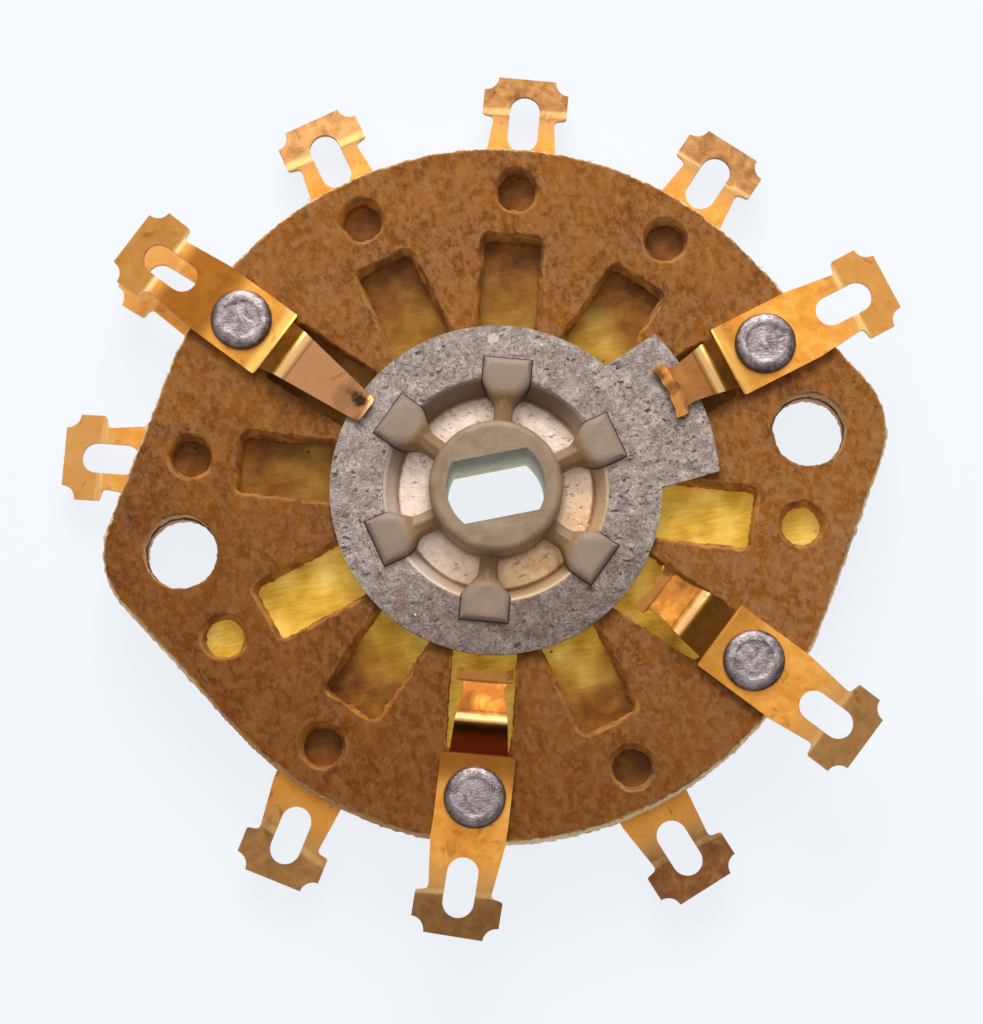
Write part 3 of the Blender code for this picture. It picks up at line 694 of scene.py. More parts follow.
def mark(mesh, name, values, kind="FLOAT"):
    """Stores a value, or a vector's three, for each point of a mesh."""
    mesh.attributes.new(name, kind, "POINT").data.foreach_set(
        "value" if kind == "FLOAT" else "vector", values)


def as_mesh(source, name):
    """The evaluated shape of an object as a closed mesh object in world space."""
    mesh = evaluated_mesh(into_scene(source))
    work = bmesh.new()
    work.from_mesh(mesh)
    bmesh.ops.transform(work, matrix=source.matrix_world, verts=work.verts)
    bmesh.ops.remove_doubles(work, verts=work.verts, dist=MERGE)
    bmesh.ops.recalc_face_normals(work, faces=work.faces)
    bmesh.ops.dissolve_limit(work, angle_limit=0.002, verts=work.verts, edges=work.edges)
    work.to_mesh(mesh)
    work.free()
    mesh.name = name
    bpy.data.objects.remove(source)
    return bpy.data.objects.new(name, mesh)


def filled_curve(name, outlines, thickness):
    """A flat curve object of closed outlines, filled and extruded."""
    curve = bpy.data.curves.new(name, "CURVE")
    curve.dimensions = "2D"
    curve.fill_mode = "BOTH"
    curve.extrude = thickness / 2
    for outline in outlines:
        spline = curve.splines.new("POLY")
        spline.points.add(len(outline) - 1)
        for point, (x, y) in zip(spline.points, outline):
            point.co = (x, y, 0, 1)
        spline.use_cyclic_u = True
    return bpy.data.objects.new(name, curve)


def plate(name, outlines, bottom, top):
    """A flat sheet from closed outlines; those inside another are its holes."""
    flat = filled_curve(name, outlines, top - bottom)
    flat.location.z = (bottom + top) / 2
    return as_mesh(flat, name)


def turned(name, profile, steps):
    """A round piece: a profile of radius and height, listed from the top down, turned about Z."""
    blank = mesh_object(name, [(r, 0, z) for r, z in profile],
                        edges=[(i, i + 1) for i in range(len(profile) - 1)])
    screw = blank.modifiers.new("Turn", "SCREW")
    screw.steps = screw.render_steps = steps
    screw.use_merge_vertices = True
    screw.merge_threshold = MERGE
    return as_mesh(blank, name)


def both_ends(profile):
    return profile + [(r, -z) for r, z in reversed(profile)]


def combine(first, second, operation):
    """Two mesh objects combined into one by a Boolean; the second is used up."""
    boolean = first.modifiers.new(operation.title(), "BOOLEAN")
    boolean.operation = operation
    boolean.object = into_scene(second)
    result = as_mesh(first, first.name)
    bpy.data.objects.remove(second)
    return result


def softened(piece, width, segments=2, angle=35):
    """The piece with its sharp edges rounded."""
    bevel = piece.modifiers.new("Soft edges", "BEVEL")
    bevel.width = width
    bevel.segments = segments
    bevel.limit_method = "ANGLE"
    bevel.angle_limit = math.radians(angle)
    bevel.harden_normals = False
    return as_mesh(piece, piece.name)


def dress(piece, body, finish, nodes, matrix=None, sharp=40):
    """Puts a finished piece into the scene, in metres, in place of these CAD nodes."""
    if matrix is not None:
        piece.data.transform(matrix)
    piece.data.transform(Matrix.Scale(MM, 4))
    piece.data.materials.clear()
    piece.data.materials.append(finish)
    piece.data.shade_smooth()
    piece.data.set_sharp_from_angle(angle=math.radians(sharp))
    into_scene(piece)
    level = piece.modifiers.new("Level flats", "WEIGHTED_NORMAL")
    level.keep_sharp = True
    piece.data = evaluated_mesh(piece)
    piece.modifiers.remove(level)
    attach(piece, body)
    if nodes:
        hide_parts(*nodes)


# ---------------------------------------------------------------- board

def board_outline():
    """The disc and its two ears, joined by the tangents from the one to the other."""
    lean = math.degrees(math.acos((DISC_RADIUS - EAR_RADIUS) / EAR_X))
    return (arc((0, 0), DISC_RADIUS, lean, 180 - lean, 90)
            + arc((-EAR_X, 0), EAR_RADIUS, 180 - lean, 180 + lean, 30)
            + arc((0, 0), DISC_RADIUS, 180 + lean, 360 - lean, 90)
            + arc((EAR_X, 0), EAR_RADIUS, -lean, lean, 30))


def resampled(outline, step):
    """The closed outline as points at even steps along it."""
    closed = np.array(outline + outline[:1])
    along = np.concatenate([[0], np.cumsum(np.hypot(*np.diff(closed, axis=0).T))])
    at = np.linspace(0, along[-1], max(24, round(along[-1] / step)), endpoint=False)
    return np.column_stack([np.interp(at, along, closed[:, axis]) for axis in (0, 1)])


def roughness_at(points, height, scale, seed):
    """Noise between -1 and 1 at points of one height."""
    return np.array([noise.noise(Vector((x * scale, y * scale, height * scale + seed)))
                     for x, y in points])


def cut_outlines(clips):
    """The outlines of a board layer: each one's points, how light its cut is, its sense, its
    wear, and how far the material stands out below the face. The windows and holes of places
    without a clip keep the burr of the punch."""
    outlines = [(board_outline(), 1.0, 1, 1.0, SAW_FLARE),
                (circle((0, 0), ROTOR_HOLE_RADIUS, 120), 0.3, -1, 0.6, 0.0)]
    for side in (1, -1):
        outlines.append((circle((side * EAR_X, 0), MOUNT_HOLE_RADIUS, 60), 0.55, -1, 0.8, 0.0))
    window = rounded([(WINDOW_INNER, -WINDOW_WIDTH / 2), (WINDOW_OUTER, -WINDOW_WIDTH / 2),
                      (WINDOW_OUTER, WINDOW_WIDTH / 2), (WINDOW_INNER, WINDOW_WIDTH / 2)],
                     WINDOW_CORNER)
    for place, angle in PLACE_ANGLES.items():
        burr = 0.0 if place in clips else PUNCH_BURR
        hole = turned_by(circle((RIVET_CIRCLE, 0), RIVET_HOLE_RADIUS, 40), angle)
        outlines += [(turned_by(window, angle), 0.12, -1, 1.0, burr), (hole, 0.15, -1, 0.9, burr)]
    return outlines


def board_layer(name, clips, seed):
    """A pierced outer sheet with ragged edges, lying on the core with its outer face up."""
    top, bottom = LAYER_BOTTOM + LAYER_THICKNESS, LAYER_BOTTOM
    # height, distance back from the edge, share of edge wear and of the cut's colour
    rows = [(top, EDGE_ROUNDING, 0.0, 0.0), (top, 0.08, 0.6, 0.0), (top - 0.04, 0.02, 1.0, 0.1),
            (top - 0.13, 0.0, 1.0, 0.8), (top - 0.45, 0.0, 1.0, 1.0), (top - 0.8, 0.0, 1.0, 1.0),
            (top - 1.15, 0.0, 1.0, 1.0), (bottom + 0.1, 0.0, 1.0, 1.0), (bottom, 0.05, 1.0, 1.0)]
    vertices, faces, edge_values, cut_values = [], [], [], []
    loops = {0: [], len(rows) - 1: []}
    for outline, cut, sense, wear, flare in cut_outlines(clips):
        points = resampled(outline, EDGE_STEP)
        ahead = np.roll(points, -1, 0) - np.roll(points, 1, 0)
        away = sense * np.column_stack([ahead[:, 1], -ahead[:, 0]])
        away /= np.linalg.norm(away, axis=1)[:, None]
        base = EDGE_CHIP * (0.15 * roughness_at(points, 0, 0.9, seed)
                            + 0.2 * roughness_at(points, 0, 2.6, seed + 7)
                            + 0.3 * roughness_at(points, 0, 5.3, seed + 5) - 0.45)
        count = len(points)
        faces += bands(len(vertices), count, len(rows))
        for level, (height, back, worn, painted) in enumerate(rows):
            if level:
                chip = EDGE_CHIP * wear * (
                    0.55 * roughness_at(points, height * 1.6, 2.2, seed + 3)
                    + 0.45 * roughness_at(points, height * 2.5, 4.5, seed))
                if level < 3:
                    chip = np.minimum(chip, 0.0) * 1.6
                back -= flare * min(1.0, (top - height) / FLARE_DEPTH)
                back = np.minimum(back - base - chip, EDGE_ROUNDING - 0.02)[:, None]
            place = points - away * back
            if level in loops:
                loops[level].append([Vector((x, y, 0)) for x, y in place])
            vertices += [(x, y, height) for x, y in place]
            edge_values += [worn * wear] * count
            cut_values += [painted * cut] * count
    sizes = [len(loop) for loop in loops[0]]
    starts = np.cumsum([0] + [size * len(rows) for size in sizes])[:-1]
    for level in loops:
        index = np.concatenate([start + level * size + np.arange(size)
                                for start, size in zip(starts, sizes)])
        faces += [tuple(int(index[i]) for i in triangle)
                  for triangle in geometry.tessellate_polygon(loops[level])]
    piece = mesh_object(name, vertices, faces)
    mark(piece.data, "edge", edge_values)
    mark(piece.data, "cut", cut_values)
    work = bmesh.new()
    work.from_mesh(piece.data)
    bmesh.ops.recalc_face_normals(work, faces=work.faces)
    work.to_mesh(piece.data)
    work.free()
    return piece


# ---------------------------------------------------------------- clips

def lug_half():
    """Half the outline of a solder lug, from its body at the rivet to the end of its head."""
    head = HEAD_WIDTH / 2
    head_start = LUG_REACH - HEAD_LENGTH
    neck = rounded([(NECK_TAPER_START - 1.2, BODY_WIDTH / 2), (NECK_TAPER_START, BODY_WIDTH / 2),
                    (head_start - 0.12, LUG_NECK_WIDTH / 2), (head_start, head - 0.12)],
                   0.35, 4, closed=False)
    return neck + [(head_start + 0.1, head)] + arc((LUG_REACH, head), HEAD_NIP, 180, 270, 8)


def leaf_half(common, tip, crest, ratio):
    """Half the outline of a leaf: the common one tapers, the others end in a hollow hammer tip."""
    shoulder = [(-SHOULDER_TO_RIVET + 0.1, BODY_WIDTH / 2),
                (-SHOULDER_TO_RIVET, BODY_WIDTH / 2 - 0.1),
                (-SHOULDER_TO_RIVET - 0.02, SHOULDER_WIDTH / 2 * ratio)]
    if common:
        wide = LONG_TIP_WIDTH / 2 * ratio
        return shoulder + [(crest, CREST_WIDTH / 2 * ratio), (tip + 0.25, wide + 0.03),
                           (tip + 0.08, wide - 0.07), (tip, wide - 0.25)]
    wide = TIP_WIDTH / 2 * ratio
    throat = rounded([(crest, CREST_WIDTH / 2 * ratio),
                      (tip + 1.5 * TIP_LENGTH, THROAT_WIDTH / 2 * ratio),
                      (tip + TIP_LENGTH - 0.05, THROAT_WIDTH / 2 * ratio + 0.1),
                      (tip + TIP_LENGTH - 0.12, wide)], 0.3, 4, closed=False)
    ear = rounded([throat[-1], (tip + TIP_LENGTH * 0.45, wide + 0.03), (tip + 0.02, wide - 0.02)],
                  0.3, 3, closed=False)[1:]
    hollow = [(tip + TIP_HOLLOW * (1 - share ** 2) * (1 + 0.15 * math.cos(9 * share)),
               wide * share)
              for share in (0.92, 0.84, 0.74, 0.62, 0.48, 0.34, 0.18, 0.05)]
    return shoulder + throat + ear + [(tip - 0.03, wide - 0.14)] + hollow


def leaf_path(outer, tip, contact, crest, lug_end, head_bend):
    """The middle line of a strip: lug, flat body on the board, and the bent leaf."""
    level = SEAT_GAP + STRIP_THICKNESS / 2
    fold = lug_end - HEAD_LENGTH
    lift = (HEAD_LENGTH + STRIP_THICKNESS) * math.tan(math.radians(head_bend))
    if outer:
        level += SEAT_GAP + STRIP_THICKNESS
        crest_level = CREST_HEIGHT
        wipe_level = RING_TOP + LEAF_CLEARANCE + STRIP_THICKNESS / 2 - BOARD_FACE
        flare, start = OUTER_TIP_FLARE, -SHOULDER_TO_RIVET
    else:
        crest_level = -VALLEY_DEPTH
        wipe_level = RING_BOTTOM - LEAF_CLEARANCE - STRIP_THICKNESS / 2 - BOARD_FACE
        flare = -INNER_TIP_FLARE
        start = -SHOULDER_TO_RIVET - WINDOW_TO_SHOULDER - STRIP_THICKNESS / 2
    corners = [(lug_end + STRIP_THICKNESS, level + lift), (fold, level), (start, level),
               (crest, crest_level), (contact, wipe_level),
               (tip - STRIP_THICKNESS, wipe_level + flare)]
    return rounded(corners, LEAF_BEND, steps=5, closed=False)


def clip_leaf(name, outer, common, stance, place):
    """One of the two strips of a clip, with its rivet at the origin and its lug along +X."""
    crest_out, swing, lug_out, head_bend = stance
    crest = CREST_RADIUS + crest_out - RIVET_CIRCLE
    if common:
        tip = RING_RADIUS - LONG_TIP_OVERLAP - RIVET_CIRCLE
        contact = tip + LONG_CONTACT
    else:
        tip = TAB_RADIUS - SHORT_TIP_OVERLAP + crest_out - RIVET_CIRCLE
        contact = tip + SHORT_CONTACT
    end = LUG_SLOT_WIDTH / 2
    slot = (arc((LUG_SLOT_START + end, 0), end, 90, 270, 14)
            + arc((LUG_SLOT_START + LUG_SLOT_LENGTH - end, 0), end, -90, 90, 14))
    slot, lug = [turned_by([(x + lug_out, y) for x, y in outline], swing)
                 for outline in (slot, mirrored(lug_half()))]
    leaf = mirrored(leaf_half(common, tip, crest, 1 if outer else INNER_LEAF_RATIO))
    path = leaf_path(outer, tip, contact, crest, LUG_REACH + lug_out, head_bend)
    strip = filled_curve(name, [sheet_section(path, STRIP_THICKNESS)], 2 * HEAD_WIDTH)
    strip.rotation_euler.x = math.pi / 2
    blank = plate(name, [lug + leaf[::-1], slot, circle((0, 0), RIVET_HOLE_RADIUS, 24)],
                  -LUG_REACH, LUG_REACH)
    piece = combine(as_mesh(strip, name), blank, "INTERSECT")
    piece = softened(piece, STRIP_SOFTNESS)
    mark_strip(piece, place, outer, crest)
    return piece


def mark_strip(piece, place, outer, crest):
    """Stores how far each point is from the leaf's crest towards the rivet, where it is on its
    strip, with another height for each strip, the lug's dullness and painted shade, and the fold's
    painted shade."""
    mesh = piece.data
    marks = np.empty(len(mesh.vertices) * 3, dtype=np.float32)
    mesh.vertices.foreach_get("co", marks)
    mark(mesh, "past_crest", marks[0::3] - crest)
    marks[2::3] += place * STRIP_SPACING + (0.0 if outer else 5.0)
    mark(mesh, "strip", marks, "FLOAT_VECTOR")
    for name, value in zip(("dull", "dark_fold"), LUG_DULL_AND_SHADE[place]):
        mark(mesh, name, [value] * len(mesh.vertices))


def rivet_seat(place, side):
    """The middle of a clip's rivet hole, on the board's face of this side."""
    angle = math.radians(PLACE_ANGLES[place])
    return (RIVET_CIRCLE * math.cos(angle), RIVET_CIRCLE * math.sin(angle), side * BOARD_FACE)


def add_clips(face, clips, finish):
    """The clips of one face of the board."""
    side = 1 if face == "front" else -1
    for place, (turn, crest_out, swing, lug_out, head_bend) in clips.items():
        angle = math.radians(PLACE_ANGLES[place]) + math.radians(turn)
        matrix = Matrix.Translation(rivet_seat(place, side)) @ Matrix.Rotation(angle, 4, "Z")
        if face == "rear":
            matrix = matrix @ Matrix.Rotation(math.pi, 4, "X")
        stance = (crest_out, side * swing, lug_out, head_bend)
        for kind in ("outer", "inner"):
            node = f"{face}_clip_{place:02d}_{kind}_leaf"
            piece = clip_leaf(node + "_strip", kind == "outer", place == COMMON_PLACE, stance,
                              place * side)
            dress(piece, "stator", finish, [node], matrix)


# ---------------------------------------------------------------- rotor

def star_outline(root_radius, clearance, neck_clearance):
    """The bell-shaped lobes on their necks, grown by clearances, on arcs of the root radius."""
    neck = NECK_WIDTH / 2 + neck_clearance
    flank = LOBE_WIDTH / 2 + clearance
    flare_start = LOBE_RADIUS - LOBE_LENGTH - FLARE_LENGTH - clearance
    half = [(LOBE_RADIUS + clearance, flank)]
    for share in np.linspace(1, 0, LOBE_HALF_POINTS - 1):
        half.append((flare_start + share * FLARE_LENGTH,
                     neck + (flank - neck) * share ** 2 * (3 - 2 * share)))
    root = math.degrees(math.asin(neck / root_radius))
    pitch = 360 / LOBE_COUNT
    points = []
    for index in range(LOBE_COUNT):
        lobe = [(x, -y) for x, y in reversed(half)] + half
        points += turned_by(lobe + arc((0, 0), root_radius, root, pitch - root, 10), index * pitch)
    return points


def contact_ring(name):
    """A front ring: flat rim with a tab, and inner tabs dished to the middle of the board."""
    tip, root = TAB_TIP_ANGLE / 2, TAB_ROOT_ANGLE / 2
    outline = (arc((0, 0), TAB_RADIUS, -tip, tip, 24)
               + arc((0, 0), RING_RADIUS, root, 360 - root, 150))
    flat = (RING_BOTTOM + RING_TOP) / 2
    thickness = RING_TOP - RING_BOTTOM
    floor = (SEAT_GAP + thickness) / 2
    foot, lip = (DISH_RADIUS - DISH_SLOPE, floor), (DISH_RADIUS, flat)
    path = (rounded([(TAB_INNER, floor), foot, lip], DISH_FOOT_BEND, 6, closed=False)[:-1]
            + rounded([foot, lip, (TAB_RADIUS + thickness, flat)], DISH_LIP_BEND, 4,
                      closed=False)[1:])
    section = sheet_section(path, thickness)
    blank = turned(name, section + section[:1], 120)
    notches = star_outline(TAB_INNER, LOBE_CLEARANCE, -0.03)
    cutter = plate(name, [outline, notches], -RING_TOP, 2 * RING_TOP)
    return softened(combine(blank, cutter, "INTERSECT"), RING_SOFTNESS)


def lobes():
    """The six lobes in one closed mesh, with pillowed faces that dip to their necks, and a web
    inside each that stands behind the edges of the rings' notches."""
    top = [(LOBE_TOP + 0.02, 0.56)]
    for turn in (90, 70, 50, 32, 16, 0):
        c, sine = math.cos(math.radians(turn)), math.sin(math.radians(turn))
        top.append((LOBE_TOP - LOBE_SOFTNESS * (1 - sine), LOBE_SOFTNESS * (1 - c)))
    rows = top + [(WEB_REACH, 0.0)]
    rows = rows + [(-height, inset) for height, inset in reversed(rows)]
    vertices, faces = [], []
    for height, inset in rows:
        for x, y in star_outline(HUB_RADIUS - POCKET_DEPTH, LOBE_GROWTH - inset, -inset):
            radius = math.hypot(x, y)
            ramp = max(0.0, min(1.0, (PAD_START - radius) / NECK_RAMP))
            dip = ramp ** 2 * (3 - 2 * ramp)
            share = min(1.0, max(0.0, (abs(height) - WEB_REACH) / (LOBE_TOP - WEB_REACH)))
            vertices.append((x, y, height - math.copysign(NECK_DIP * dip * share, height)))
    count = len(vertices) // len(rows)
    for level in range(len(rows) - 1):
        for i in range(count):
            j = (i + 1) % count
            a, b = level * count, (level + 1) * count
            faces.append((a + i, b + i, b + j, a + j))
    pitch = count // LOBE_COUNT
    last = 2 * LOBE_HALF_POINTS - 1
    for start in (0, (len(rows) - 1) * count):
        middle = []
        for lobe in range(start, start + count, pitch):
            faces += [(lobe + i, lobe + i + 1, lobe + last - 1 - i, lobe + last - i)
                      for i in range(LOBE_HALF_POINTS - 1)]
            before = lobe - 1 if lobe > start else start + count - 1
            faces.append((before, lobe, lobe + last, lobe + last + 1))
            middle += range(lobe + last + 1, lobe + pitch)
        faces.append(tuple(middle))
    return as_mesh(mesh_object("lobes", vertices, faces), "lobes")


def webs():
    """A thin flange round each lobe, inside the board, that closes the view past its flanks."""
    rim = (WEB_OUTER, WEB_HALF_HEIGHT)
    ring = turned("webs", both_ends([rim, (WEB_INNER, WEB_HALF_HEIGHT), WEB_FOOT]) + [rim], 96)
    star = star_outline(HUB_RADIUS, WEB_MARGIN, WEB_MARGIN)
    return combine(ring, plate("wide_star", [star], -2, 2), "INTERSECT")


def rotor_hub():
    """The moulded hub: a round body, its lobes with soft edges, the slot and the pockets."""
    shoulder = arc((HUB_RADIUS - HUB_ROUNDING, HUB_TOP - HUB_ROUNDING), HUB_ROUNDING, 90, 0, 7)
    body = turned("hub_moulding", both_ends([(0, HUB_TOP)] + shoulder), 96)
    hub = combine(combine(body, lobes(), "UNION"), webs(), "UNION")
    lean = math.degrees(math.asin(SHAFT_FLATS / 2 / SHAFT_RADIUS))
    outline = (arc((0, 0), SHAFT_RADIUS, -lean, lean, 20)
               + arc((0, 0), SHAFT_RADIUS, 180 - lean, 180 + lean, 20))
    hub = combine(hub, plate("slot", [turned_by(outline, SLOT_TURN)], -2 * HUB_TOP, 2 * HUB_TOP),
                  "DIFFERENCE")
    inner = TAB_INNER - POCKET_CLEARANCE
    side = NECK_WIDTH / 2 + NECK_CLEARANCE - POCKET_CLEARANCE
    pitch = 360 / LOBE_COUNT
    near = math.degrees(math.asin(side / inner))
    far = math.degrees(math.asin(side / (HUB_RADIUS + LOBE_CLEARANCE)))
    sector = (arc((0, 0), inner, pitch - near, near, 8)
              + arc((0, 0), HUB_RADIUS + LOBE_CLEARANCE, far, pitch - far, 8))
    sectors = [turned_by(sector, index * pitch) for index in range(LOBE_COUNT)]
    height = SEAT_GAP / 2 + RING_TOP - RING_BOTTOM + POCKET_CLEARANCE
    return combine(hub, plate("pockets", sectors, -height, height), "DIFFERENCE")


# ---------------------------------------------------------------- rivets and fibres

class Growth(Graph):
    """A Geometry Nodes tree with named sizes, and the mesh that grows from it."""

    def __init__(self, name, sizes):
        super().__init__(bpy.data.node_groups.new(name, "GeometryNodeTree"))
        self.sizes = sizes
        kinds = {size: {float: "Float", int: "Int"}.get(type(value), "Material")
                 for size, value in sizes.items()}
        new_socket = self.tree.interface.new_socket
        for socket, kind in {"Geometry": "Geometry", **kinds}.items():
            new_socket(socket, in_out="INPUT", socket_type="NodeSocket" + kind)
        new_socket("Geometry", in_out="OUTPUT", socket_type="NodeSocketGeometry")
        entry = self.tree.nodes.new("NodeGroupInput")
        self.inputs = {socket.name: Value(self, socket) for socket in entry.outputs if socket.name}

    def step(self, kind, inputs=None, output=0):
        return self.node("GeometryNode" + kind, {}, inputs, output)

    def grown(self, name, carrier, instances, scale, reach):
        """These instances as one plain object, with their points pushed about by a noise."""
        push = self.node("ShaderNodeTexNoise", {}, {
            "Vector": self.step("InputPosition"), "Scale": scale}, "Color")
        offset = self.node("ShaderNodeVectorMath", {"operation": "SCALE"}, {
            0: self.node("ShaderNodeVectorMath", {"operation": "SUBTRACT"},
                         {0: push, 1: (0.5, 0.5, 0.5)}), "Scale": reach})
        solid = self.step("RealizeInstances", {"Geometry": instances})
        shaken = self.step("SetPosition", {"Geometry": solid, "Offset": offset})
        done = self.step("SetMaterial", {"Geometry": shaken, "Material": self.inputs["Finish"]})
        out = self.tree.nodes.new("NodeGroupOutput")
        self.tree.links.new(done.socket, out.inputs[0])
        modifier = carrier.modifiers.new(name, "NODES")
        modifier.node_group = self.tree
        for socket in self.tree.interface.items_tree:
            if socket.name in self.sizes:
                modifier[socket.identifier] = self.sizes[socket.name]
        mesh = evaluated_mesh(into_scene(carrier))
        mesh.name = name
        bpy.data.objects.remove(carrier)
        return bpy.data.objects.new(name, mesh)


def rivets(finish):
    """All the rivets in one mesh: a turned, hammered head and its shank at each clip."""
    seats, facing = [], []
    for side, clips in ((1, FRONT_CLIPS), (-1, REAR_CLIPS)):
        for place in clips:
            seats.append(rivet_seat(place, side))
            facing += (0.0 if side > 0 else math.pi, 0.0, 0.7 * place)
    carrier = mesh_object("rivet_seats", seats)
    mark(carrier.data, "facing", facing, "FLOAT_VECTOR")
    tree = Growth("rivet_maker", {
        "Head radius": RIVET_HEAD_RADIUS, "Head height": RIVET_HEAD_HEIGHT,
        "Seat": 3 * SEAT_GAP + 2 * STRIP_THICKNESS,
        "Shank radius": RIVET_HOLE_RADIUS - RIVET_CLEARANCE - 0.03,
        "Shank length": LAYER_THICKNESS, "Hammering": 0.07, "Finish": finish})
    size = tree.inputs
    sheet = tree.step("MeshGrid", {"Size X": 1.0, "Size Y": 1.0, "Vertices X": 49,
                                   "Vertices Y": 29}, "Mesh")
    across, up, _ = tree.parts(tree.step("InputPosition"))
    around = (across + 0.5) * (2 * math.pi)
    # the sheet's share that is the head, then where the shank starts and ends
    along, head_end, shank_start, shank_end = up + 0.5, 0.75, 0.775, 0.975
    over_head = (along / head_end).least(1.0)
    # radius over the head's radius, and height over the head's height, along the profile
    head_r = tree.node("ShaderNodeFloatCurve", {"curve": [
        (0.0, 0.0), (0.2, 0.42), (0.3, 0.575), (0.36, 0.62), (0.42, 0.655), (0.55, 0.80),
        (0.7, 0.93), (0.85, 1.0), (1.0, 0.985)]}, {"Value": over_head})
    head_z = tree.node("ShaderNodeFloatCurve", {"curve": [
        (0.0, 0.95), (0.2, 0.94), (0.3, 0.935), (0.36, 0.97), (0.42, 1.0), (0.55, 0.955),
        (0.7, 0.78), (0.85, 0.40), (1.0, 0.0)]}, {"Value": over_head})
    on_shank, at_end = along.above(shank_start), along.above(shank_end)
    radius = (head_r * size["Head radius"] * (1 - on_shank)
              + size["Shank radius"] * on_shank * (1 - at_end))
    height = (size["Seat"] + head_z * size["Head height"] * (1 - on_shank)
              - along.smooth(0.82, 0.9) * (size["Shank length"] + size["Seat"]))
    place = tree.node("ShaderNodeCombineXYZ", {}, {
        "X": radius * around.maths("COSINE"), "Y": radius * around.maths("SINE"), "Z": height})
    turned_sheet = tree.step("SetPosition", {"Geometry": sheet, "Position": place})
    closed = tree.step("MergeByDistance", {"Geometry": turned_sheet, "Distance": 0.002})
    flat = tree.node("ShaderNodeVectorMath", {"operation": "MULTIPLY"},
                     {0: tree.step("InputPosition"), 1: (1.0, 1.0, 0.0)})
    kept = tree.node("GeometryNodeStoreNamedAttribute", {"data_type": "FLOAT", "domain": "POINT"},
                     {"Geometry": closed, "Name": "rivet_radius", "Value": tree.node(
                         "ShaderNodeVectorMath", {"operation": "LENGTH"}, {0: flat}, "Value")})
    turn = tree.node("GeometryNodeInputNamedAttribute", {"data_type": "FLOAT_VECTOR"},
                     {"Name": "facing"})
    placed = tree.step("InstanceOnPoints", {
        "Points": size["Geometry"], "Instance": kept,
        "Rotation": tree.node("FunctionNodeEulerToRotation", {}, {0: turn})})
    return tree.grown("clip_rivets", carrier, placed, 0.8, size["Hammering"])


def cut_fibres(finish):
    """Loose fibres on the sawn edge of the board, in one mesh."""
    points = resampled(board_outline(), 0.5) * (1 - 0.08 / DISC_RADIUS)
    levels = (-BOARD_FACE + 0.1, -0.6, 0.6, BOARD_FACE - 0.1)
    carrier = mesh_object("sawn_edge", [(x, y, z) for z in levels for x, y in points],
                          bands(0, len(points), len(levels)))
    tree = Growth("fibre_maker", {"Density": 1.1, "Length": 0.75, "Width": 0.024, "Curl": 0.22,
                                  "Seed": 11, "Finish": finish})
    size = tree.inputs
    roots = tree.step("DistributePointsOnFaces", {
        "Mesh": size["Geometry"], "Density": size["Density"], "Seed": size["Seed"]}, "Points")
    upright = Value(tree, roots.socket.node.outputs["Rotation"])
    line = tree.step("CurvePrimitiveLine", {
        "Start": (0.0, 0.0, 0.0),
        "End": tree.node("ShaderNodeCombineXYZ", {}, {"Z": size["Length"]})})
    line = tree.step("ResampleCurve", {"Curve": line, "Count": 5})
    line = tree.step("SetCurveRadius", {
        "Curve": line, "Radius": 1.1 - tree.step("SplineParameter", output="Factor")})
    profile = tree.step("CurvePrimitiveCircle", {"Resolution": 3, "Radius": size["Width"]})
    strand = tree.step("CurveToMesh", {"Curve": line, "Profile Curve": profile,
                                       "Fill Caps": True})
    lean = tree.node("FunctionNodeRandomValue", {"data_type": "FLOAT_VECTOR"}, {
        "Min": (1.25, 0.0, 0.0), "Max": (1.56, 0.3, 6.28), "Seed": size["Seed"]})
    rotation = tree.node("FunctionNodeRotateRotation", {"rotation_space": "LOCAL"}, {
        "Rotation": upright,
        "Rotate By": tree.node("FunctionNodeEulerToRotation", {}, {0: lean})})
    scale = tree.node("FunctionNodeRandomValue", {"data_type": "FLOAT"},
                      {2: 0.35, 3: 1.0, "Seed": 5}, 1)
    placed = tree.step("InstanceOnPoints", {"Points": roots, "Instance": strand,
                                            "Rotation": rotation, "Scale": scale})
    return tree.grown("sawn_edge_fibres", carrier, placed, 1.6, size["Curl"])


# ---------------------------------------------------------------- studio

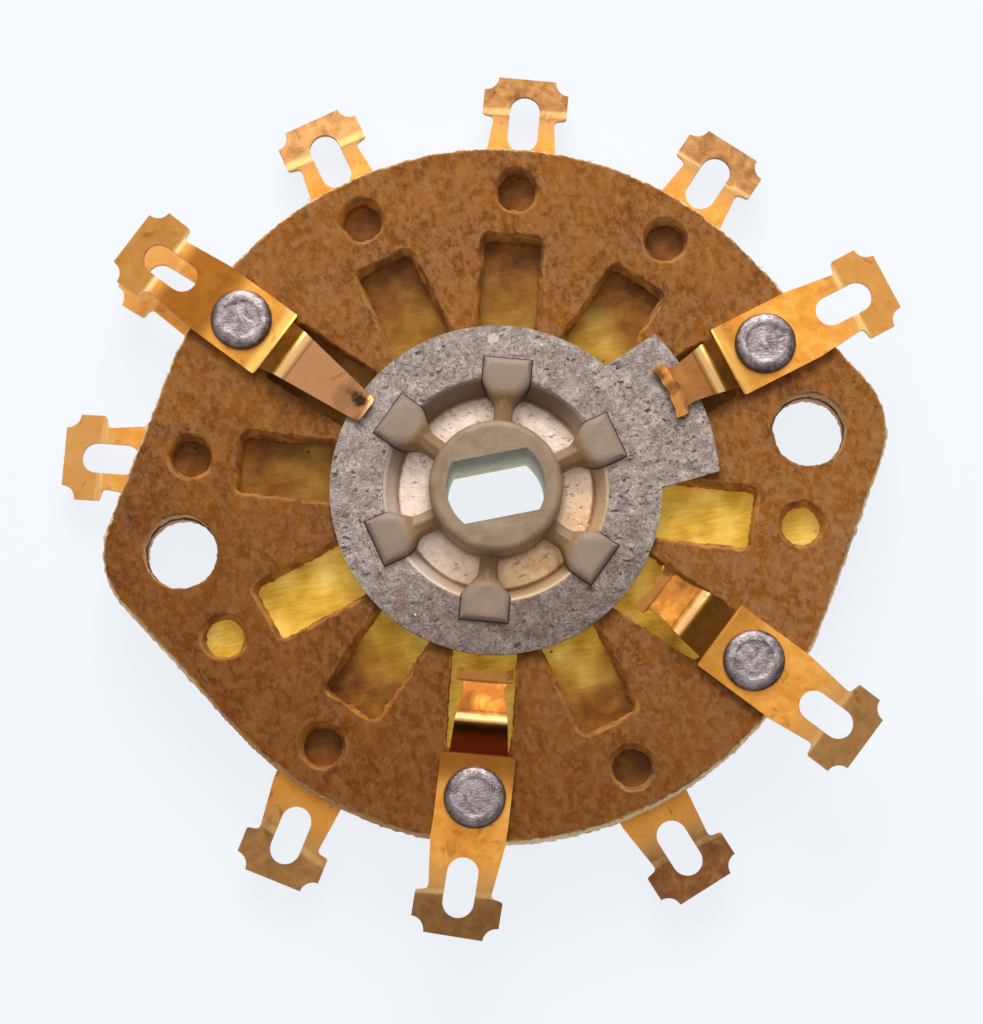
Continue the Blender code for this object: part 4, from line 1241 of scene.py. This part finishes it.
def studio():
    """Pale lit floor, soft light from above and behind, and the photograph's camera."""
    glow = Finish("light_table", {
        "Base Color": (0.12, 0.12, 0.12, 1.0), "Roughness": 0.9, "Specular IOR Level": 0.0,
        "Emission Color": (0.90, 0.94, 0.99, 1.0), "Emission Strength": 0.88}).material
    size, level = TABLE_HALF, -HUB_TOP * MM - TABLE_GAP
    table = mesh_object("light_table", [(-size, -size, level), (size, -size, level),
                                        (size, size, level), (-size, size, level)],
                        [(0, 1, 2, 3)])
    table.data.materials.append(glow)
    into_scene(table)

    world = bpy.data.worlds.new("studio")
    bpy.context.scene.world = world
    world.use_nodes = True
    sky = world.node_tree.nodes["Background"].inputs
    sky["Color"].default_value, sky["Strength"].default_value = (1.0, 0.94, 0.86, 1.0), 0.2

    for name, place, width, power, tone in (
            ("overhead_softbox", (0.0, 0.20, 0.62), 0.90, 2.0, (1.0, 0.99, 0.97)),
            ("near_window", (0.05, 0.26, 0.23), 0.18, 0.78, (1.0, 0.98, 0.95)),
            ("rear_window", (0.10, 0.75, 0.42), 0.60, 2.6, (0.96, 0.98, 1.0)),
            ("low_fill", (-0.30, -0.60, 0.40), 0.40, 0.3, (1.0, 0.97, 0.92))):
        light = bpy.data.lights.new(name, "AREA")
        light.shape = "SQUARE"
        light.size = width
        light.energy = power
        light.color = tone
        lamp = into_scene(bpy.data.objects.new(name, light))
        lamp.location = place
        lamp.rotation_euler = (-Vector(place)).to_track_quat("-Z", "Y").to_euler()

    tilt, turn = math.radians(CAMERA_TILT), math.radians(CAMERA_AZIMUTH)
    right = Vector((math.cos(turn), -math.sin(turn), 0))
    level = Vector((math.sin(turn), math.cos(turn), 0))
    up = math.cos(tilt) * level + Vector((0, 0, math.sin(tilt)))
    back = -math.sin(tilt) * level + Vector((0, 0, math.cos(tilt)))
    lens = bpy.data.cameras.new("photograph")
    lens.sensor_fit = "HORIZONTAL"
    lens.sensor_width = SENSOR_WIDTH
    lens.lens = SENSOR_WIDTH * FOCAL_PIXELS / PICTURE[0]
    lens.shift_x = -(CENTRE_PIXEL[0] - PICTURE[0] / 2) / PICTURE[0]
    lens.shift_y = (CENTRE_PIXEL[1] - PICTURE[1] / 2) / PICTURE[0]
    lens.clip_start, lens.clip_end = 0.01, 10.0
    camera = into_scene(bpy.data.objects.new("photograph", lens))
    axes = Matrix((right, up, back)).transposed().to_4x4()
    camera.matrix_world = Matrix.Translation(back * CAMERA_DISTANCE * MM) @ axes
    bpy.context.scene.camera = camera
    bpy.context.scene.view_settings.view_transform = "Standard"


def build():
    sheet, strip, plated = phenolic_finish(), brass_finish(), rivet_finish()
    silver, moulding, straw = ring_finish(), moulding_finish(), fibre_finish()

    dress(board_layer("front_sheet", FRONT_CLIPS, 3.0), "stator", sheet,
          ["front_board_layer"])
    under = board_layer("rear_sheet", REAR_CLIPS, 31.0)
    under.data.transform(Matrix.Scale(-1, 4, (0, 0, 1)))
    under.data.flip_normals()
    dress(under, "stator", sheet, ["rear_board_layer"])
    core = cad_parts["core_sheet"]
    core.data.materials.clear()
    core.data.materials.append(core_finish())
    dress(cut_fibres(straw), "stator", straw, [])

    add_clips("front", FRONT_CLIPS, strip)
    add_clips("rear", REAR_CLIPS, strip)
    dress(rivets(plated), "stator", plated,
          [f"{face}_clip_{place:02d}_rivet" for face, clips in
           (("front", FRONT_CLIPS), ("rear", REAR_CLIPS)) for place in clips])

    turn = Matrix.Rotation(math.radians(ROTOR_ANGLE), 4, "Z")
    dress(rotor_hub(), "rotor", moulding, ["rotor_hub"], turn)
    dress(contact_ring("front_ring_plate"), "rotor", silver, ["front_contact_ring"],
          turn)
    over = Matrix.Rotation(math.radians(REAR_TAB_TURN), 4, "Z") @ Matrix.Rotation(math.pi, 4, "X")
    dress(contact_ring("rear_ring_plate"), "rotor", silver, ["rear_contact_ring"],
          turn @ over)
    studio()


build()
